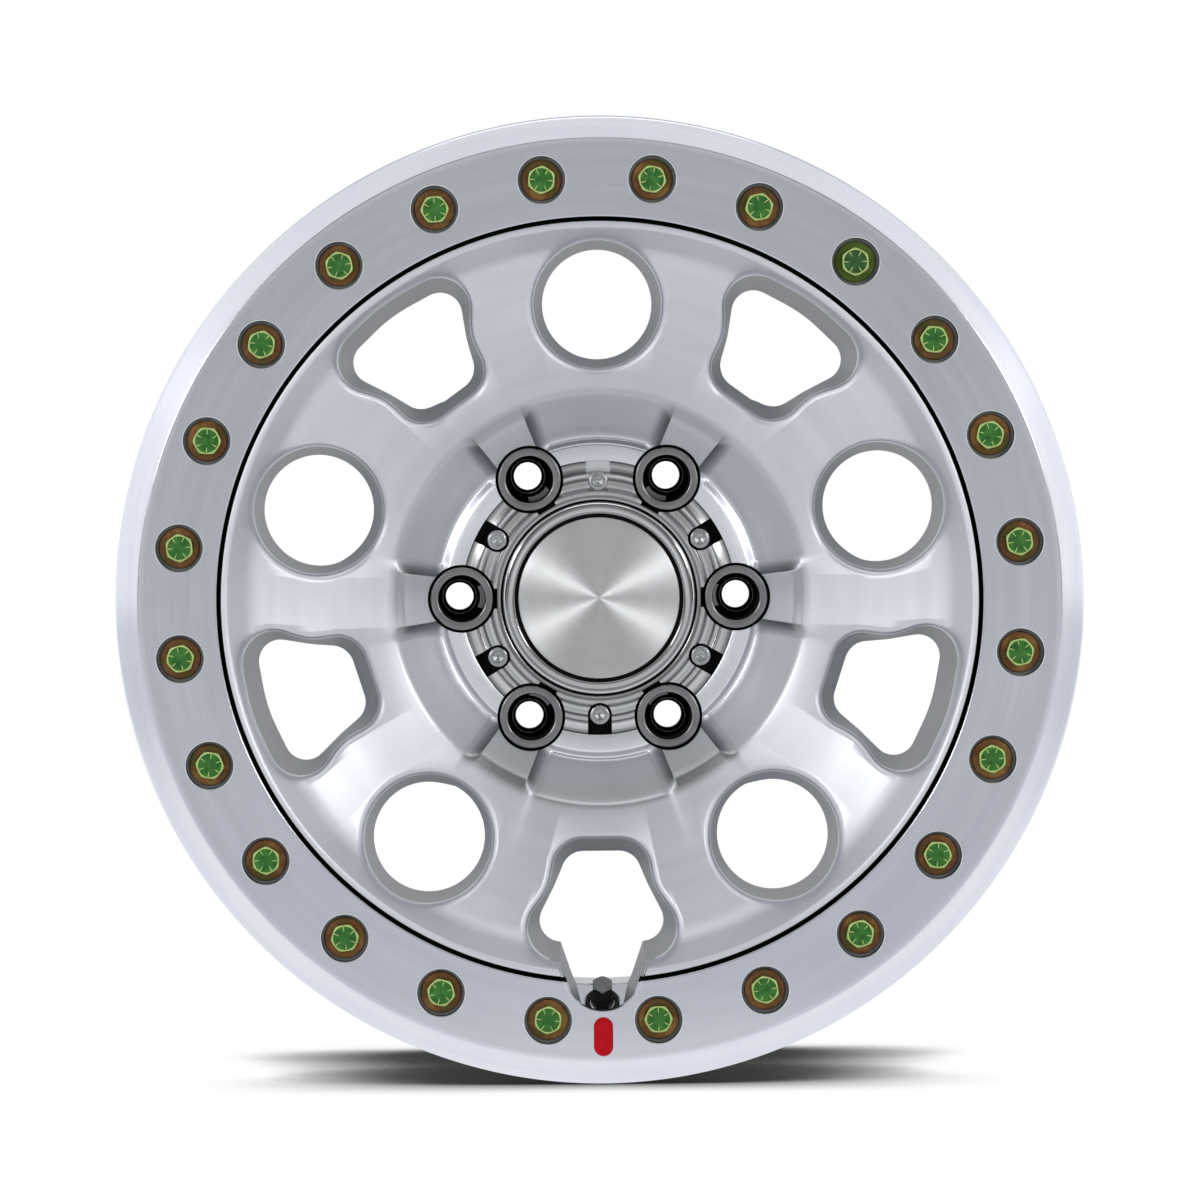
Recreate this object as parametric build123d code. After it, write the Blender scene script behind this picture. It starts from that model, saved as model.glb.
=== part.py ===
from build123d import *
import math
import os

os.makedirs("parts", exist_ok=True)

# A 17 x 9 inch beadlock wheel, in millimetres.
# The model is built with the spin axis along Z and the front of the wheel facing +Z,
# with Z = 0 on the face that bolts to the hub. Each piece is then laid over, so that
# the finished part has its spin axis along Y, its front towards -Y and +Z up.

# Barrel
wheel_outer_r = 240.0
ring_overhang = 21.7
rear_flange_inset = 4.5
well_depth = 18.8
barrel_wall = 5.5
front_plane_z = 118.0
rear_plane_z = -132.0
well_rear_z = 8.0
rear_flange_thickness = 10.5
rear_slope_length = 42.0
hump_height = 3.0

# Beadlock ring and its seat on the casting
ring_thickness = 14.0
ring_width = 50.0
ring_lip_width = 11.2
ring_lip_drop = 4.5
ring_clamp_depth = 3.5
ring_fit = 0.3
register_gap = 2.0
lip_step = 2.5
lip_width = 3.0
drum_clearance = 0.8
bead_gap = 20.0
safety_flange_thickness = 6.0

# Ring bolts, washers and thread inserts
bolt_count = 24
bolt_circle_inset = 30.0
bolt_first_angle = 7.5
counterbore_r = 11.6
counterbore_depth = 9.0
bolt_r = 3.9
bolt_hole_clearance = 0.6
bolt_length = 25.0
head_across_flats = 13.0
head_height = 5.3
washer_outer_r = 10.2
washer_thickness = 1.6
insert_outer_r = 5.5
insert_length = 20.0
insert_sink = 0.2
press_fit = 0.02
thread_clearance = 0.15
tip_room = 3.0

# Disc between hub and barrel
disc_rear_z = 70.0
bowl_edge_r = 103.0
bowl_edge_z = 83.9
disc_mid_r = 138.0
disc_mid_z = 89.5
disc_rise_inset = 17.0
disc_rise_z = 100.0

# Openings in the disc
opening_count = 5
opening_draft = 19.3
opening_reach_inset = 8.5
hole_circle_r = 146.7
hole_r = 27.3
hole_first_angle = 18.0
window_first_angle = 54.0
window_inner_v = 127.2
window_outer_v = 173.9
window_waist_v = 150.0
window_inner_half = 15.5
window_waist_half = 25.8
window_outer_half = 33.5
window_inner_corner_r = 9.0
window_outer_corner_r = 12.0
window_side_r = 60.0

# Notch for the valve
valve_angle = 270.0
notch_r = 19.5
notch_inset = 5.7
pocket_inset = 30.0
pocket_reach = 17.5
pocket_inner_half = 24.8
pocket_outer_half = 7.6
pocket_corner_r = 7.0
pocket_draft = 7.4

# Hub
hub_bore_r = 39.05
hub_drum_r = 90.0
pad_z = 68.0
pad_outer_r = 77.2
bowl_floor_r = 80.3
bowl_floor_z = 64.8
ramp_half_angle = 7.8
ramp_rise = 4.5
relief_r = 11.0
relief_circle_r = 69.0
relief_depth = 38.0

# Lug pockets and sleeves
lug_count = 6
stud_circle_r = 69.85
stud_hole_r = 7.0
stud_ledge_z = 14.0
lug_circle_r = 68.6
lug_pocket_r = 17.0
sleeve_outer_r = 15.8
sleeve_inner_r = 11.7
seat_top_z = 26.0
seat_top_r = 10.4
seat_bottom_r = 8.4
seat_half_angle = 30.0

# Cap retainer ring and its screws
retainer_seat_z = 60.0
retainer_outer_r = 68.4
retainer_inner_r = 48.9
retainer_fit = 0.2
retainer_land_z = 71.0
retainer_land_r = 53.8
retainer_mid_z = 69.2
retainer_groove_inner_r = 59.0
retainer_groove_outer_r = 62.4
retainer_groove_depth = 1.3
retainer_edge_z = 67.0
screw_circle_r = 58.5
screw_pocket_r = 6.0
screw_seat_z = 63.5
screw_head_r = 5.0
screw_head_height = 6.0
screw_r = 3.0
screw_length = 14.0
screw_socket_flats = 5.0
screw_socket_depth = 3.2
key_half_width = 5.0
key_depth = 0.8
key_floor_z = 65.0

# Centre cap
cap_gap = 0.6
cap_flange_r = 50.0
cap_flange_thickness = 3.6
cap_flange_fit = 0.3
cap_front_z = 72.5
cap_bezel_inner_r = 42.0
cap_wall = 3.0
cap_disc_r = 40.3
cap_disc_thickness = 2.0
cap_disc_sink = 1.0
cap_seal_r = 47.0
cap_seal_section_r = 1.2
cap_seal_fit = 0.1

# Marker badge on the ring
badge_inset = 23.6
badge_length = 19.2
badge_width = 9.4
badge_thickness = 1.3
badge_proud = 0.3
badge_fit = 0.1

# Air valve, measured along its own axis from the floor of its pocket
valve_tilt = 40.0
valve_base_reach = 13.0
valve_wall = 6.0
spot_face_r = 9.4
spot_depth = 0.4
valve_hole_r = 5.75
valve_fit = 0.05
valve_flange_r = 8.2
valve_flange_thickness = 2.5
valve_foot_r = 7.8
valve_foot_thickness = 2.5
valve_stem_r = 4.2
valve_thread_r = 3.85
valve_bore_r = 1.7
valve_end = 15.5
valve_collar_outer_r = 8.6
valve_collar_inner_r = 6.4
valve_collar_height = 2.6
valve_washer_r = 6.3
valve_washer_thickness = 1.4
valve_nut_flats = 10.0
valve_nut_height = 4.6
valve_cap_flats = 9.5
valve_cap_length = 9.0
valve_cap_top = 1.3
valve_core_seat = -1.0
valve_core_sink = 1.0
valve_air_r = 1.1

# Small edges and the room that a cutting tool runs past a face
edge_break = 0.5
cut_past = 10.0

# Worked out from the sizes above
bead_seat_r = wheel_outer_r - ring_overhang
rear_flange_r = wheel_outer_r - rear_flange_inset
well_outer_r = bead_seat_r - well_depth
ring_inner_r = wheel_outer_r - ring_width
ring_face_outer_r = wheel_outer_r - ring_lip_width
bolt_circle_r = wheel_outer_r - bolt_circle_inset
badge_centre_v = wheel_outer_r - badge_inset
disc_rise_r = ring_inner_r - disc_rise_inset
opening_reach_r = ring_inner_r - opening_reach_inset
notch_centre_v = ring_inner_r - notch_inset
pocket_inner_v = ring_inner_r - pocket_inset
pocket_outer_v = ring_inner_r + pocket_reach
valve_base_v = ring_inner_r + valve_base_reach
seat_plane_z = front_plane_z - ring_thickness
lip_top_z = front_plane_z - lip_step
register_r = ring_inner_r - register_gap
drum_r = bead_seat_r - drum_clearance
safety_front_z = seat_plane_z - bead_gap
safety_rear_z = safety_front_z - safety_flange_thickness
well_inner_r = well_outer_r - barrel_wall
rear_lip_front_z = rear_plane_z + rear_flange_thickness
counterbore_floor_z = front_plane_z - counterbore_depth
head_bottom_z = counterbore_floor_z + washer_thickness
bolt_hole_r = bolt_r + bolt_hole_clearance
insert_top_z = seat_plane_z - insert_sink
insert_bottom_z = insert_top_z - insert_length
valve_rad = math.radians(valve_tilt)
slope_top_r = drum_r - 1.5
slope_top_z = safety_rear_z - 1.0
slope_foot_z = slope_top_z - (slope_top_r - well_outer_r) * math.tan(valve_rad)
floor_rise = (valve_wall + 2 * spot_depth) / math.cos(valve_rad)
floor_foot_z = slope_foot_z - barrel_wall * math.tan(valve_rad) + floor_rise
spot_drop = spot_depth / math.cos(valve_rad)
valve_base_z = floor_foot_z + (valve_base_v - well_inner_r) * math.tan(valve_rad) - spot_drop
bolt_angles = [bolt_first_angle + 360 / bolt_count * k for k in range(bolt_count)]
lug_angles = [360 / lug_count * k for k in range(lug_count)]
screw_angles = [360 / lug_count * (k + 0.5) for k in range(lug_count)]
hole_angles = [hole_first_angle + 360 / opening_count * k for k in range(opening_count)]
window_angles = [window_first_angle + 360 / opening_count * k for k in range(opening_count)]
cap_outer_r = retainer_inner_r - cap_gap
cap_flange_top_z = retainer_seat_z + cap_flange_thickness
cap_disc_bottom_z = cap_front_z - cap_disc_sink - cap_disc_thickness


def corner(u, v, radius=0.0):
    # One point of an outline, with the radius of the arc that rounds it.
    return (Vector(u, v), radius)


def rounded_face(corners):
    # A closed outline whose corners are rounded by arcs tangent to both sides.
    joints = []
    for i, (here, radius) in enumerate(corners):
        way_in = (here - corners[i - 1][0]).normalized()
        way_out = (corners[(i + 1) % len(corners)][0] - here).normalized()
        half_turn = math.radians(way_in.get_angle(way_out)) / 2
        reach = radius * math.tan(half_turn)
        bulge = radius / math.cos(half_turn) - radius
        inward = (way_out - way_in).normalized()
        joints.append((here - way_in * reach, here + inward * bulge, here + way_out * reach, radius))
    edges = []
    for i, (start, middle, end, radius) in enumerate(joints):
        if radius > 0:
            edges.append(ThreePointArc(start, middle, end))
        edges.append(Line(end, joints[(i + 1) % len(joints)][0]))
    return make_face(edges)


def turned(corners, arc=360.0, start=0.0):
    # A body turned about the spin axis from a section of radius and height.
    section = Plane.XZ * rounded_face(corners)
    return Rot(0, 0, start) * revolve(section, axis=Axis.Z, revolution_arc=arc)


def disc(radius, bottom, top):
    # A plain cylinder between two heights.
    return Pos(0, 0, (bottom + top) / 2) * Cylinder(radius, top - bottom)


def bar(half_width, inner, outer, bottom, top):
    # A rectangular bar along the first axis, between two distances and two heights.
    middle = Pos((inner + outer) / 2, 0, (bottom + top) / 2)
    return middle * Box(outer - inner, 2 * half_width, top - bottom)


def hexagon(across_flats, bottom, top):
    # A hexagonal prism between two heights.
    outline = RegularPolygon(across_flats / 2, 6, major_radius=False)
    return extrude(Pos(0, 0, bottom) * outline, amount=top - bottom)


def rim_cut(radius, height, size=edge_break):
    # The bevel at the mouth of a round hole.
    return Pos(0, 0, height - size / 2) * Cone(radius, radius + size, size)


def around(piece, radius, angle):
    # A piece moved out to a radius and turned to an angle about the spin axis.
    return Rot(0, 0, angle) * Pos(radius, 0, 0) * piece


def outward(sketch, angle):
    # A sketch whose second axis points out from the wheel's centre, at an angle.
    return Rot(0, 0, angle - 90) * sketch


def along_valve(piece):
    # A piece built up from the floor of the valve pocket.
    return Pos(0, -valve_base_v, valve_base_z) * Rot(-valve_tilt, 0, 0) * piece


def save(name, piece):
    # The front of the wheel turns from +Z to -Y, and the piece gets its own file.
    placed = Rot(90, 0, 0) * piece
    placed.label = name
    export_step(placed, "parts/" + name + ".step")


# From the hub's rear face, forwards along the bore, out over the disc to the ring's seat,
# back along the tyre side of the barrel, and in along its inside
def casting_section():
    return [
        corner(hub_bore_r, 0),
        corner(hub_bore_r, retainer_seat_z),
        corner(retainer_outer_r + retainer_fit, retainer_seat_z),
        corner(retainer_outer_r + retainer_fit, pad_z, edge_break),
        corner(pad_outer_r, pad_z, 2.6),
        corner(bowl_floor_r, bowl_floor_z, 1.8),
        corner(bowl_edge_r, bowl_edge_z, 5.0),
        corner(disc_mid_r, disc_mid_z, 120.0),
        corner(disc_rise_r, disc_rise_z, 20.0),
        corner(register_r - lip_width, lip_top_z, 2.0),
        corner(register_r - edge_break, lip_top_z),
        corner(register_r, lip_top_z - edge_break),
        corner(register_r, seat_plane_z),
        corner(drum_r, seat_plane_z, edge_break),
        corner(drum_r, safety_front_z, 2.0),
        corner(rear_flange_r, safety_front_z, 2.8),
        corner(rear_flange_r, safety_rear_z, 2.8),
        corner(slope_top_r, slope_top_z, 2.5),
        corner(well_outer_r, slope_foot_z, 4.0),
        corner(well_outer_r, well_rear_z, 20.0),
        corner(bead_seat_r - hump_height, well_rear_z - rear_slope_length, 20.0),
        corner(bead_seat_r - hump_height, rear_lip_front_z + 27.0, 6.0),
        corner(bead_seat_r + 1.0, rear_lip_front_z + 21.0, 4.0),
        corner(bead_seat_r - 1.5, rear_lip_front_z + 15.0, 4.0),
        corner(bead_seat_r, rear_lip_front_z, 6.0),
        corner(rear_flange_r - 4.0, rear_lip_front_z, 5.0),
        corner(rear_flange_r, rear_plane_z, 1.2),
        corner(rear_flange_r - barrel_wall, rear_plane_z, 1.2),
        corner(rear_flange_r - 2 * barrel_wall, rear_lip_front_z - barrel_wall, 3.0),
        corner(bead_seat_r - hump_height - barrel_wall, rear_lip_front_z - barrel_wall, 8.0),
        corner(bead_seat_r - hump_height - barrel_wall, well_rear_z - rear_slope_length, 20.0),
        corner(well_inner_r, well_rear_z, 20.0),
        corner(well_inner_r, disc_rear_z, 8.0),
        corner(hub_drum_r, disc_rear_z, 10.0),
        corner(hub_drum_r - 1.5, 0, 2.0),
    ]


# The raised way in to a lug pocket, which keeps the slope of the bowl below it
def ramp():
    slope = (bowl_edge_z - bowl_floor_z) / (bowl_edge_r - bowl_floor_r)
    inner_r = bowl_floor_r - 1.0
    inner_z = bowl_floor_z + ramp_rise - slope
    meet_r = bowl_edge_r - ramp_rise / slope
    root_r = bowl_edge_r + 6.0
    return turned([
        corner(inner_r, retainer_seat_z),
        corner(inner_r, inner_z, 1.0),
        corner(meet_r, bowl_edge_z, 4.0),
        corner(root_r, bowl_edge_z),
        corner(root_r, retainer_seat_z),
    ], 2 * ramp_half_angle, -ramp_half_angle)


def window_outline():
    return rounded_face([
        corner(-window_inner_half, window_inner_v, window_inner_corner_r),
        corner(window_inner_half, window_inner_v, window_inner_corner_r),
        corner(window_waist_half, window_waist_v, window_side_r),
        corner(window_outer_half, window_outer_v, window_outer_corner_r),
        corner(-window_outer_half, window_outer_v, window_outer_corner_r),
        corner(-window_waist_half, window_waist_v, window_side_r),
    ])


# An opening is straight below the disc's rear face and widens towards the front
def opening(outline):
    rise = lip_top_z + cut_past - disc_rear_z
    straight = extrude(Pos(0, 0, disc_rear_z - cut_past) * outline, amount=cut_past)
    flared = extrude(Pos(0, 0, disc_rear_z) * outline, amount=rise, taper=-opening_draft)
    limit = disc(opening_reach_r, disc_rear_z - 2 * cut_past, lip_top_z + 2 * cut_past)
    return (straight + flared) & limit


# The pocket's floor runs along the barrel's slope, so the wall behind the valve is even
def valve_pocket():
    bottom_z = floor_foot_z - cut_past
    top_z = lip_top_z + cut_past
    outline = rounded_face([
        corner(-pocket_inner_half, pocket_inner_v),
        corner(pocket_inner_half, pocket_inner_v),
        corner(pocket_outer_half, pocket_outer_v, pocket_corner_r),
        corner(-pocket_outer_half, pocket_outer_v, pocket_corner_r),
    ])
    start = Pos(0, 0, bottom_z) * outward(outline, valve_angle)
    cutter = extrude(start, amount=top_z - bottom_z, taper=-pocket_draft)
    above_floor = turned([
        corner(pocket_inner_v - cut_past, bottom_z - 1),
        corner(well_inner_r, bottom_z - 1),
        corner(well_inner_r, floor_foot_z),
        corner(drum_r, floor_foot_z + (drum_r - well_inner_r) * math.tan(valve_rad)),
        corner(drum_r, top_z + 1),
        corner(pocket_inner_v - cut_past, top_z + 1),
    ])
    return cutter & above_floor


def lug_cut(angle):
    pocket = disc(lug_pocket_r, retainer_seat_z, lip_top_z)
    bore = disc(sleeve_outer_r + press_fit, stud_ledge_z, lip_top_z)
    hole = Pos(stud_circle_r - lug_circle_r, 0, 0) * disc(stud_hole_r, -1, stud_ledge_z + 1)
    return around(pocket + bore + hole, lug_circle_r, angle)


def insert_cut(angle):
    bore = disc(insert_outer_r + press_fit, insert_bottom_z, seat_plane_z + 1)
    tip = disc(bolt_hole_r, insert_bottom_z - tip_room, seat_plane_z)
    return around(bore + tip, bolt_circle_r, angle)


def wheel_casting():
    body = turned(casting_section())
    for angle in lug_angles:
        body += Rot(0, 0, angle) * ramp()
    for angle in hole_angles:
        body -= opening(Rot(0, 0, angle) * Pos(hole_circle_r, 0) * Circle(hole_r))
    for angle in window_angles:
        body -= opening(outward(window_outline(), angle))
    body -= valve_pocket()
    body -= along_valve(disc(valve_hole_r, -valve_wall - cut_past / 2, cut_past / 2))
    body -= along_valve(disc(spot_face_r, 0, cut_past))
    body -= along_valve(disc(spot_face_r, -valve_wall - cut_past, -valve_wall))
    for angle in lug_angles:
        body -= lug_cut(angle)
    for angle in screw_angles:
        tapped_bottom = screw_seat_z - screw_length - tip_room
        body -= around(disc(screw_r + thread_clearance, tapped_bottom, pad_z), screw_circle_r, angle)
        body -= around(disc(relief_r, -1, relief_depth), relief_circle_r, angle)
    for angle in bolt_angles:
        body -= insert_cut(angle)
    return body


def beadlock_ring():
    clamp_z = seat_plane_z - ring_clamp_depth
    body = turned([
        corner(ring_inner_r, seat_plane_z, edge_break),
        corner(ring_inner_r, front_plane_z, edge_break),
        corner(ring_face_outer_r, front_plane_z, 4.0),
        corner(wheel_outer_r, front_plane_z - ring_lip_drop, 5.0),
        corner(wheel_outer_r, clamp_z, 4.0),
        corner(drum_r + ring_fit, clamp_z, edge_break),
        corner(drum_r + ring_fit, seat_plane_z),
    ])
    for angle in bolt_angles:
        bore = disc(counterbore_r, counterbore_floor_z, front_plane_z + 1)
        hole = disc(bolt_hole_r, seat_plane_z - 1, front_plane_z)
        body -= around(bore + hole + rim_cut(counterbore_r, front_plane_z), bolt_circle_r, angle)
    notch = disc(notch_r, seat_plane_z - 1, front_plane_z + 1) + rim_cut(notch_r, front_plane_z)
    body -= around(notch, notch_centre_v, valve_angle)
    badge_bed = SlotOverall(badge_length + 2 * badge_fit, badge_width + 2 * badge_fit)
    bed_z = front_plane_z + badge_proud - badge_thickness
    body -= around(extrude(Pos(0, 0, bed_z) * badge_bed, amount=cut_past), badge_centre_v, valve_angle)
    return body


def marker_badge():
    outline = SlotOverall(badge_length, badge_width)
    bed_z = front_plane_z + badge_proud - badge_thickness
    body = extrude(Pos(0, 0, bed_z) * outline, amount=badge_thickness)
    body = fillet(body.faces().sort_by(Axis.Z)[-1].edges(), badge_proud)
    return around(body, badge_centre_v, valve_angle)


def ring_bolt():
    corner_r = head_across_flats / math.sqrt(3)
    top_z = head_bottom_z + head_height
    crown = turned([
        corner(0, head_bottom_z),
        corner(corner_r, head_bottom_z),
        corner(corner_r, top_z - 0.8),
        corner(corner_r - 1.3, top_z, 0.4),
        corner(0, top_z),
    ])
    head = hexagon(head_across_flats, head_bottom_z, top_z) & crown
    shank = chamfered_pin(bolt_r, head_bottom_z - bolt_length, head_bottom_z)
    return head + shank


def chamfered_pin(radius, bottom, top):
    # A pin whose lower end is bevelled.
    return turned([
        corner(0, bottom),
        corner(radius - edge_break, bottom),
        corner(radius, bottom + edge_break),
        corner(radius, top),
        corner(0, top),
    ])


def ring_washer():
    return turned([
        corner(bolt_hole_r, counterbore_floor_z),
        corner(washer_outer_r, counterbore_floor_z, 0.3),
        corner(washer_outer_r, head_bottom_z, 0.3),
        corner(bolt_hole_r, head_bottom_z),
    ])


def thread_insert():
    return turned([
        corner(bolt_r + thread_clearance, insert_bottom_z),
        corner(insert_outer_r, insert_bottom_z),
        corner(insert_outer_r, insert_top_z, 0.3),
        corner(bolt_r + thread_clearance, insert_top_z, 0.3),
    ])


# The seat is centred on the stud, a little further out than the sleeve itself
def lug_sleeve():
    offset = stud_circle_r - lug_circle_r
    seat_depth = (seat_top_r - seat_bottom_r) / math.tan(math.radians(seat_half_angle))
    body = turned([
        corner(0, stud_ledge_z),
        corner(sleeve_outer_r, stud_ledge_z, edge_break),
        corner(sleeve_outer_r, pad_z, edge_break),
        corner(sleeve_inner_r, pad_z, edge_break),
        corner(sleeve_inner_r, seat_top_z),
        corner(0, seat_top_z),
    ])
    seat = Pos(offset, 0, seat_top_z - seat_depth / 2) * Cone(seat_bottom_r, seat_top_r, seat_depth)
    throat = Pos(offset, 0, 0) * disc(seat_bottom_r, stud_ledge_z - 1, seat_top_z)
    return body - seat - throat


def retainer_ring():
    lip_z = cap_flange_top_z + cap_flange_fit
    inner_step_r = cap_flange_r + cap_flange_fit
    groove_z = retainer_mid_z - retainer_groove_depth
    body = turned([
        corner(inner_step_r, retainer_seat_z),
        corner(inner_step_r, lip_z),
        corner(retainer_inner_r, lip_z),
        corner(retainer_inner_r, retainer_land_z, 0.6),
        corner(retainer_land_r, retainer_land_z, 0.4),
        corner(retainer_land_r + 0.8, retainer_mid_z, 0.3),
        corner(retainer_groove_inner_r, retainer_mid_z),
        corner(retainer_groove_inner_r + 0.6, groove_z, 0.3),
        corner(retainer_groove_outer_r - 0.6, groove_z, 0.3),
        corner(retainer_groove_outer_r, retainer_mid_z),
        corner(retainer_outer_r, retainer_edge_z, 0.3),
        corner(retainer_outer_r, retainer_seat_z),
    ])
    for angle in lug_angles:
        body -= around(disc(lug_pocket_r, retainer_seat_z - 1, cap_front_z), lug_circle_r, angle)
        inner = lug_circle_r - lug_pocket_r - key_depth
        body -= around(bar(key_half_width, inner, retainer_outer_r, key_floor_z, cap_front_z), 0, angle)
    past = retainer_outer_r + 1
    for angle in screw_angles:
        pocket = disc(screw_pocket_r, screw_seat_z, cap_front_z)
        hole = disc(screw_r + bolt_hole_clearance, retainer_seat_z - 1, screw_seat_z)
        body -= around(pocket + hole, screw_circle_r, angle)
        body -= around(bar(screw_pocket_r, screw_circle_r, past, screw_seat_z, cap_front_z), 0, angle)
        drop_from = screw_circle_r + screw_head_r + edge_break
        body -= around(bar(screw_pocket_r, drop_from, past, retainer_seat_z - 1, cap_front_z), 0, angle)
    return body


def retainer_screw():
    top_z = screw_seat_z + screw_head_height
    head = turned([
        corner(0, screw_seat_z),
        corner(screw_head_r, screw_seat_z),
        corner(screw_head_r, top_z, 0.7),
        corner(0, top_z),
    ])
    shank = chamfered_pin(screw_r, screw_seat_z - screw_length, screw_seat_z)
    socket = hexagon(screw_socket_flats, top_z - screw_socket_depth, top_z + 1)
    return head + shank - socket


def cap_shell():
    inner_r = cap_outer_r - cap_wall
    flange_inner_r = inner_r - 1.3
    roof_z = cap_disc_bottom_z - cap_wall
    body = turned([
        corner(flange_inner_r, retainer_seat_z),
        corner(cap_flange_r, retainer_seat_z, 0.3),
        corner(cap_flange_r, cap_flange_top_z, 0.3),
        corner(cap_outer_r, cap_flange_top_z, 0.3),
        corner(cap_outer_r, cap_front_z, 1.8),
        corner(cap_bezel_inner_r, cap_front_z, 1.0),
        corner(cap_bezel_inner_r, cap_disc_bottom_z, 0.3),
        corner(0, cap_disc_bottom_z),
        corner(0, roof_z),
        corner(inner_r, roof_z, 1.5),
        corner(inner_r, cap_flange_top_z, 0.3),
        corner(flange_inner_r, cap_flange_top_z, 0.3),
    ])
    groove_half = cap_seal_section_r + cap_seal_fit
    groove_top = retainer_seat_z + 2 * cap_seal_section_r + cap_seal_fit
    outer = disc(cap_seal_r + groove_half, retainer_seat_z - 1, groove_top)
    inner = disc(cap_seal_r - groove_half, retainer_seat_z - 2, groove_top + 1)
    return body - (outer - inner)


def cap_disc():
    top_z = cap_disc_bottom_z + cap_disc_thickness
    return turned([
        corner(0, cap_disc_bottom_z),
        corner(cap_disc_r, cap_disc_bottom_z),
        corner(cap_disc_r, top_z, 0.5),
        corner(0, top_z),
    ])


def cap_seal():
    return Pos(0, 0, retainer_seat_z + cap_seal_section_r) * Torus(cap_seal_r, cap_seal_section_r)


def valve_grommet():
    return turned([
        corner(valve_stem_r + valve_fit, -valve_wall - valve_flange_thickness),
        corner(valve_flange_r, -valve_wall - valve_flange_thickness, 0.6),
        corner(valve_flange_r, -valve_wall, 0.3),
        corner(valve_hole_r - valve_fit, -valve_wall),
        corner(valve_hole_r - valve_fit, 0),
        corner(valve_stem_r + valve_fit, 0),
    ])


def valve_stem():
    foot_z = -valve_wall - valve_flange_thickness
    shoulder = valve_end - valve_cap_length
    return turned([
        corner(valve_bore_r, valve_core_seat),
        corner(valve_air_r, valve_core_seat),
        corner(valve_air_r, foot_z - valve_foot_thickness),
        corner(valve_foot_r, foot_z - valve_foot_thickness, 0.8),
        corner(valve_foot_r, foot_z, 0.3),
        corner(valve_stem_r, foot_z),
        corner(valve_stem_r, shoulder),
        corner(valve_thread_r, shoulder + edge_break),
        corner(valve_thread_r, valve_end, 0.4),
        corner(valve_bore_r, valve_end),
    ])


def valve_core():
    return disc(valve_bore_r - valve_fit, valve_core_seat, valve_end - valve_core_sink)


def valve_collar():
    return turned([
        corner(valve_collar_inner_r, 0),
        corner(valve_collar_outer_r, 0),
        corner(valve_collar_outer_r, valve_collar_height, 1.0),
        corner(valve_collar_inner_r, valve_collar_height, 0.9),
    ])


def valve_washer():
    return turned([
        corner(valve_stem_r + valve_fit, 0),
        corner(valve_washer_r, 0),
        corner(valve_washer_r, valve_washer_thickness, 0.3),
        corner(valve_stem_r + valve_fit, valve_washer_thickness),
    ])


def valve_nut():
    top = valve_washer_thickness + valve_nut_height
    body = hexagon(valve_nut_flats, valve_washer_thickness, top)
    return body - disc(valve_stem_r + valve_fit, 0, top + 1)


def valve_cap():
    bottom = valve_end - valve_cap_length + 2 * edge_break
    top = valve_end + valve_cap_top
    corner_r = valve_cap_flats / math.sqrt(3)
    crown = turned([
        corner(0, bottom),
        corner(corner_r, bottom),
        corner(corner_r, top - 0.9),
        corner(corner_r - 1.0, top, 0.4),
        corner(0, top),
    ])
    body = (Rot(0, 0, 30) * hexagon(valve_cap_flats, bottom, top)) & crown
    return body - disc(valve_thread_r + thread_clearance, bottom - 1, valve_end)


def ring_of(piece, radius, angles, turn=0.0):
    # Copies of one piece round the wheel, each turned a little further than the last.
    copies = []
    for k, angle in enumerate(angles):
        copies.append(around(Rot(0, 0, turn * k) * piece, radius, angle))
    return Compound(copies)


save("wheel_casting", wheel_casting())
save("beadlock_ring", beadlock_ring())
save("ring_bolts", ring_of(ring_bolt(), bolt_circle_r, bolt_angles, 23.0))
save("ring_washers", ring_of(ring_washer(), bolt_circle_r, bolt_angles))
save("thread_inserts", ring_of(thread_insert(), bolt_circle_r, bolt_angles))
for number, angle in enumerate(lug_angles):
    save("lug_sleeve_" + str(number + 1), around(lug_sleeve(), lug_circle_r, angle))
save("retainer_ring", retainer_ring())
save("retainer_screws", ring_of(retainer_screw(), screw_circle_r, screw_angles, 17.0))
save("cap_shell", cap_shell())
save("cap_disc", cap_disc())
save("cap_seal", cap_seal())
save("marker_badge", marker_badge())
save("valve_stem", along_valve(valve_stem()))
save("valve_core", along_valve(valve_core()))
save("valve_grommet", along_valve(valve_grommet()))
save("valve_collar", along_valve(valve_collar()))
save("valve_washer", along_valve(valve_washer()))
save("valve_nut", along_valve(valve_nut()))
save("valve_cap", along_valve(valve_cap()))
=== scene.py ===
import math
import bmesh
import bpy
import numpy as np
from mathutils import Matrix, Vector
from mathutils.kdtree import KDTree


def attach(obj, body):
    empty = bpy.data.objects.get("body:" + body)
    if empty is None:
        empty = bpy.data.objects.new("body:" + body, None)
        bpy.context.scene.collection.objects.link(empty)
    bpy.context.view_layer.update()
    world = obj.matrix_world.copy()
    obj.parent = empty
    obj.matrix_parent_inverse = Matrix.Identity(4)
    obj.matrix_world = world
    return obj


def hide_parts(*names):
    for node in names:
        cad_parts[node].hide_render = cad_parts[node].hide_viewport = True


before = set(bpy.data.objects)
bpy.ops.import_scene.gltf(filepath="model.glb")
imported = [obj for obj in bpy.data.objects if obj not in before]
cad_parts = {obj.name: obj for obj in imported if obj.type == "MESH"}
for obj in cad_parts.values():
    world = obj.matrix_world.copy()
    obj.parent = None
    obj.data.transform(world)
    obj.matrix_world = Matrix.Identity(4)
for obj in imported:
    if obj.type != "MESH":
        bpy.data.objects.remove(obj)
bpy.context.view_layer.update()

print("frame loaded:", len(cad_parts), "nodes")

# All shapes below are worked out in millimetres, with x to the right, y up and z towards the
# front of the wheel, and z = 0 on the face that bolts to the hub. toFrame lays them over.

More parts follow.
